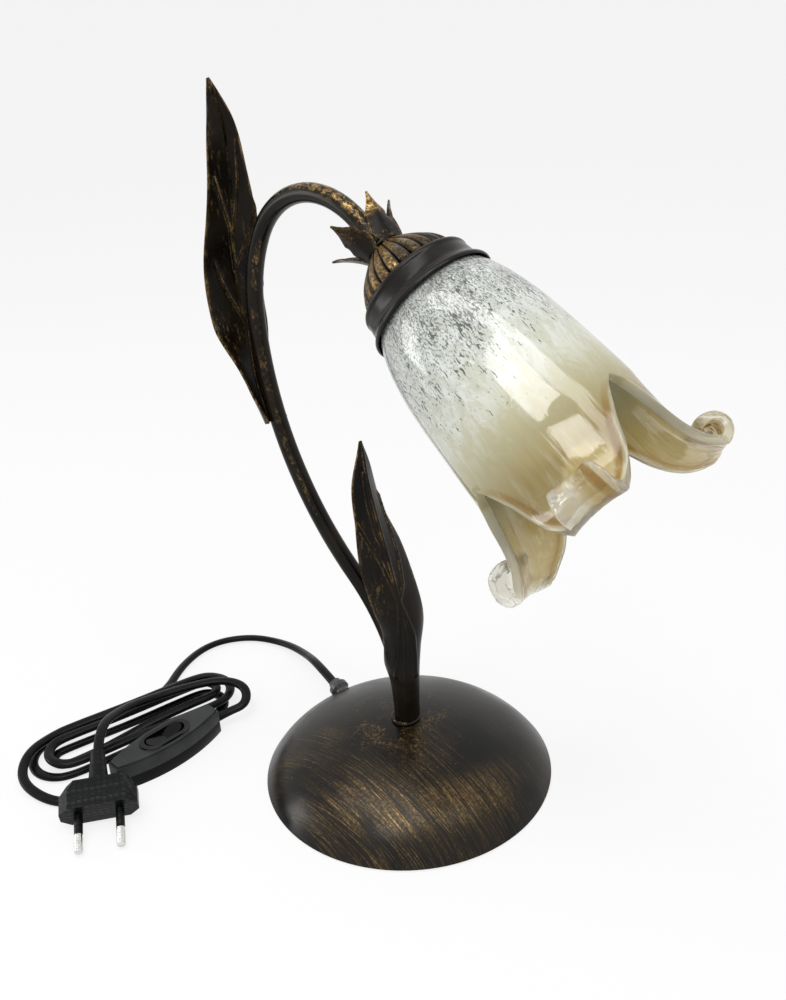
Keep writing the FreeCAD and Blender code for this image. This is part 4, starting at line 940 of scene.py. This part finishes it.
def hank_points():
    """The loops: runs at these distances from the middle line, first on the table, then on top."""
    offsets = [19.0, 13.0, 8.0, 4.0, 10.0, 12.0, 16.0]
    climb = 3
    out = []
    for k, offset in enumerate(offsets):
        side = 1.0 if k % 2 == 0 else -1.0
        way = -1.0 if k % 2 == 0 else 1.0
        z0 = LOW if k <= climb else HIGH
        z1 = HIGH if k >= climb else LOW
        stretch = 0.0 if k < climb else 2.5
        end = way * 36.0 + stretch - (1.0 if k % 2 == 0 else 0.0)
        if k:
            out.append(hank_point(-way * 24.0, side * offset, z0))
            out.append(hank_point(-way * 8.0, side * (offset - 0.5), z0 + (z1 - z0) * 0.28))
        out.append(hank_point(way * 8.0, side * (offset - 0.5), z0 + (z1 - z0) * 0.72))
        if k == len(offsets) - 1:
            break
        out.append(hank_point(way * 26.0, side * offset, z1))
        to = -side * offsets[k + 1]
        middle = (side * offset + to) / 2.0
        radius = abs(side * offset - to) / 2.0 / math.cos(math.radians(15.0))
        for q in range(15, 180, 30):
            a = math.radians(q)
            out.append(hank_point(end + way * radius * math.sin(a), middle + side * radius * math.cos(a), z1))
    return out


LEAD = [(-56.46, 11.38, 8.96), (-80.4, 16.21, 14.33), (-104.0, 26.0, 6.6), (-125.0, 28.5, 3.2),
        (-146.5, 20.5, 2.5), (-158.5, 1.5, 2.5), (-154.0, -22.0, 2.5), (-137.23, -46.65, 2.5)]
SWITCH_END = [(-143.66, -93.31, 7.8), (-146.06, -105.07, 7.8), (-143.5, -122.5, 8.2), (-131.0, -134.0, 5.0),
              (-112.0, -132.0, 2.8), (-98.5, -123.5, 2.9), (-95.0, -112.0, 6.2), (-95.0, -100.2, 6.6)]
PLUG_END = [(-95.0, -46.2, 6.6), (-95.0, -36.5, 6.6), (-89.5, -27.0, 9.2), (-98.0, -20.0, 12.6),
            (-110.5, -24.5, 13.6), (-119.5, -39.0, 13.5), (-126.0, -58.0, 13.6), (-127.0, -77.0, 16.6),
            (-115.1, -97.07, 22.82), (-100.89, -106.62, 17.26)]

# Section of the two-core flex: an oval, flat side down.
section = bpy.data.curves.new("flex-section", "CURVE")
section.dimensions = "2D"
oval = section.splines.new("POLY")
oval.points.add(23)
for k, point in enumerate(oval.points):
    a = math.radians(15.0 * k)
    power = 0.82
    x = math.copysign(abs(math.cos(a)) ** power, math.cos(a)) * FLEX_HALF[0]
    y = math.copysign(abs(math.sin(a)) ** power, math.sin(a)) * FLEX_HALF[1] - FLEX_SINK
    point.co = (x * MM, y * MM, 0.0, 1.0)
oval.use_cyclic_u = True
section_object = bpy.data.objects.new("flex-section", section)
section_object.hide_render = True
section_object.hide_viewport = True
scene.collection.objects.link(section_object)


def flex(name, route, stands_for, roll):
    """Oval cord on a smooth line; roll(i) turns its section at point i, in degrees."""
    curve = bpy.data.curves.new(name, "CURVE")
    curve.dimensions = "3D"
    curve.resolution_u = 8
    curve.twist_mode = "Z_UP"
    spline = curve.splines.new("NURBS")
    spline.points.add(len(route) - 1)
    for i, (point, at) in enumerate(zip(spline.points, route)):
        point.co = (at[0] * MM, at[1] * MM, at[2] * MM, 1.0)
        point.tilt = math.radians(roll(i))
    spline.order_u = 3
    spline.use_endpoint_u = True
    curve.bevel_mode = "OBJECT"
    curve.bevel_object = section_object
    curve.use_fill_caps = True
    obj = bpy.data.objects.new(name, curve)
    scene.collection.objects.link(obj)
    curve.materials.append(MATERIALS["cord"])
    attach(obj, "lamp")
    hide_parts(*stands_for)
    return obj


def lay_of_hank(i):
    """The flat flex leans over on its way to the bundle and rocks a little along each loop."""
    if i < len(LEAD):
        return 24.0 * math.sin(math.pi * i / len(LEAD))
    return 16.0 * math.sin(0.71 * i)


lead = flex("cord-to-switch", [Vector(p) for p in LEAD] + hank_points() + [Vector(p) for p in SWITCH_END],
            ["cord_lead", "cord_hank", "cord_switch_end"], lay_of_hank)
tail = flex("cord-to-plug", PLUG_END, ["cord_plug_end"], lambda i: 0.0)

# ------------------------------------------------------------------ crisp moulded edges on carried pieces


def soften(node, width, angle=28.0):
    obj = nodes[node]
    weld = obj.modifiers.new("weld", "WELD")
    weld.merge_threshold = 0.000004
    bevel = obj.modifiers.new("round", "BEVEL")
    bevel.width = width * MM
    bevel.segments = 3
    bevel.limit_method = "ANGLE"
    bevel.angle_limit = math.radians(angle)
    bevel.harden_normals = True
    bevel.use_clamp_overlap = True


for node, width in (("plug_body", 0.7), ("switch_cover", 0.35), ("switch_base", 0.3), ("switch_rocker", 0.3)):
    soften(node, width)

# ------------------------------------------------------------------ floor, light and camera


FLOOR_HALF = 30.0
FLOOR_Z = -0.0002
FLOOR_GREY = 0.90
FLOOR_GLOW = 0.80
SKY_LEVEL = 0.54


def seen_ray(tree):
    """1 for rays from the camera, off gloss or through glass, and 0 for the light that falls on things."""
    path = tree.nodes.new("ShaderNodeLightPath")
    out = path.outputs["Is Camera Ray"]
    for other in ("Is Glossy Ray", "Is Transmission Ray"):
        either = tree.nodes.new("ShaderNodeMath")
        either.operation = "MAXIMUM"
        tree.links.new(out, either.inputs[0])
        tree.links.new(path.outputs[other], either.inputs[1])
        out = either.outputs[0]
    return out


def floor():
    """White ground that keeps part of the shadow."""
    mesh = bpy.data.meshes.new("floor")
    corners = [(-FLOOR_HALF, -FLOOR_HALF, FLOOR_Z), (FLOOR_HALF, -FLOOR_HALF, FLOOR_Z),
               (FLOOR_HALF, FLOOR_HALF, FLOOR_Z), (-FLOOR_HALF, FLOOR_HALF, FLOOR_Z)]
    mesh.from_pydata(corners, [], [(0, 1, 2, 3)])
    obj = bpy.data.objects.new("floor", mesh)
    scene.collection.objects.link(obj)
    mat = bpy.data.materials.new("floor")
    mat.use_nodes = True
    tree = mat.node_tree
    tree.nodes.clear()
    out = tree.nodes.new("ShaderNodeOutputMaterial")
    mix = tree.nodes.new("ShaderNodeMixShader")
    matt = tree.nodes.new("ShaderNodeBsdfDiffuse")
    glow = tree.nodes.new("ShaderNodeEmission")
    share = tree.nodes.new("ShaderNodeMath")
    share.operation = "MULTIPLY"
    share.inputs[1].default_value = FLOOR_GLOW
    matt.inputs["Color"].default_value = (FLOOR_GREY, FLOOR_GREY, FLOOR_GREY, 1.0)
    glow.inputs["Color"].default_value = (1.0, 1.0, 1.0, 1.0)
    glow.inputs["Strength"].default_value = 1.0
    link = tree.links.new
    link(seen_ray(tree), share.inputs[0])
    link(share.outputs[0], mix.inputs["Fac"])
    link(matt.outputs[0], mix.inputs[1])
    link(glow.outputs[0], mix.inputs[2])
    link(mix.outputs[0], out.inputs["Surface"])
    mesh.materials.append(mat)


def sky():
    """Even light from all round, seen as plain white."""
    world = bpy.data.worlds.new("studio")
    scene.world = world
    world.use_nodes = True
    tree = world.node_tree
    tree.nodes.clear()
    out = tree.nodes.new("ShaderNodeOutputWorld")
    mix = tree.nodes.new("ShaderNodeMixShader")
    soft = tree.nodes.new("ShaderNodeBackground")
    white = tree.nodes.new("ShaderNodeBackground")
    soft.inputs["Color"].default_value = (1.0, 1.0, 1.0, 1.0)
    soft.inputs["Strength"].default_value = SKY_LEVEL
    white.inputs["Color"].default_value = (1.0, 1.0, 1.0, 1.0)
    white.inputs["Strength"].default_value = 1.0
    link = tree.links.new
    link(seen_ray(tree), mix.inputs["Fac"])
    link(soft.outputs[0], mix.inputs[1])
    link(white.outputs[0], mix.inputs[2])
    link(mix.outputs[0], out.inputs["Surface"])


def softbox(name, at, aim, along, width, height, radiance):
    """Rectangular lamp whose width runs along a direction."""
    light = bpy.data.lights.new(name, "AREA")
    light.shape = "RECTANGLE"
    light.size = width
    light.size_y = height
    light.energy = math.pi * width * height * radiance
    obj = bpy.data.objects.new(name, light)
    scene.collection.objects.link(obj)
    back = (Vector(at) - Vector(aim)).normalized()
    side = Vector(along)
    side = (side - back * side.dot(back)).normalized()
    over = back.cross(side)
    obj.matrix_world = Matrix(((side.x, over.x, back.x, at[0]), (side.y, over.y, back.y, at[1]),
                               (side.z, over.z, back.z, at[2]), (0.0, 0.0, 0.0, 1.0)))


floor()
sky()
softbox("overhead", (0.10, -0.16, 1.15), (0.03, -0.03, 0.0), (0.87, 0.48, 0.0), 1.45, 0.26, 5.0)
softbox("window", (0.22, -0.50, 1.12), (0.11, -0.03, 0.21), (0.1, 1.0, 0.0), 0.52, 0.19, 9.0)
softbox("side", (-0.85, -0.72, 0.32), (0.04, -0.03, 0.23), (0.6, -0.8, 0.0), 0.30, 0.50, 5.0)

CAMERA_AT = Vector((0.3006, -0.2902, 0.3509))
FORWARD = Vector((-0.6442, 0.6223, -0.4446)).normalized()
RIGHT = Vector((0.7127, 0.6994, -0.0538))
RIGHT = (RIGHT - FORWARD * RIGHT.dot(FORWARD)).normalized()
ABOVE = RIGHT.cross(FORWARD)
lens = bpy.data.cameras.new("camera")
lens.sensor_width = 36.0
lens.lens = 39.6
lens.clip_start = 0.01
lens.clip_end = 100.0
camera = bpy.data.objects.new("camera", lens)
scene.collection.objects.link(camera)
camera.matrix_world = Matrix(((RIGHT.x, ABOVE.x, -FORWARD.x, CAMERA_AT.x),
                              (RIGHT.y, ABOVE.y, -FORWARD.y, CAMERA_AT.y),
                              (RIGHT.z, ABOVE.z, -FORWARD.z, CAMERA_AT.z),
                              (0.0, 0.0, 0.0, 1.0)))
scene.camera = camera
scene.view_settings.view_transform = "Standard"
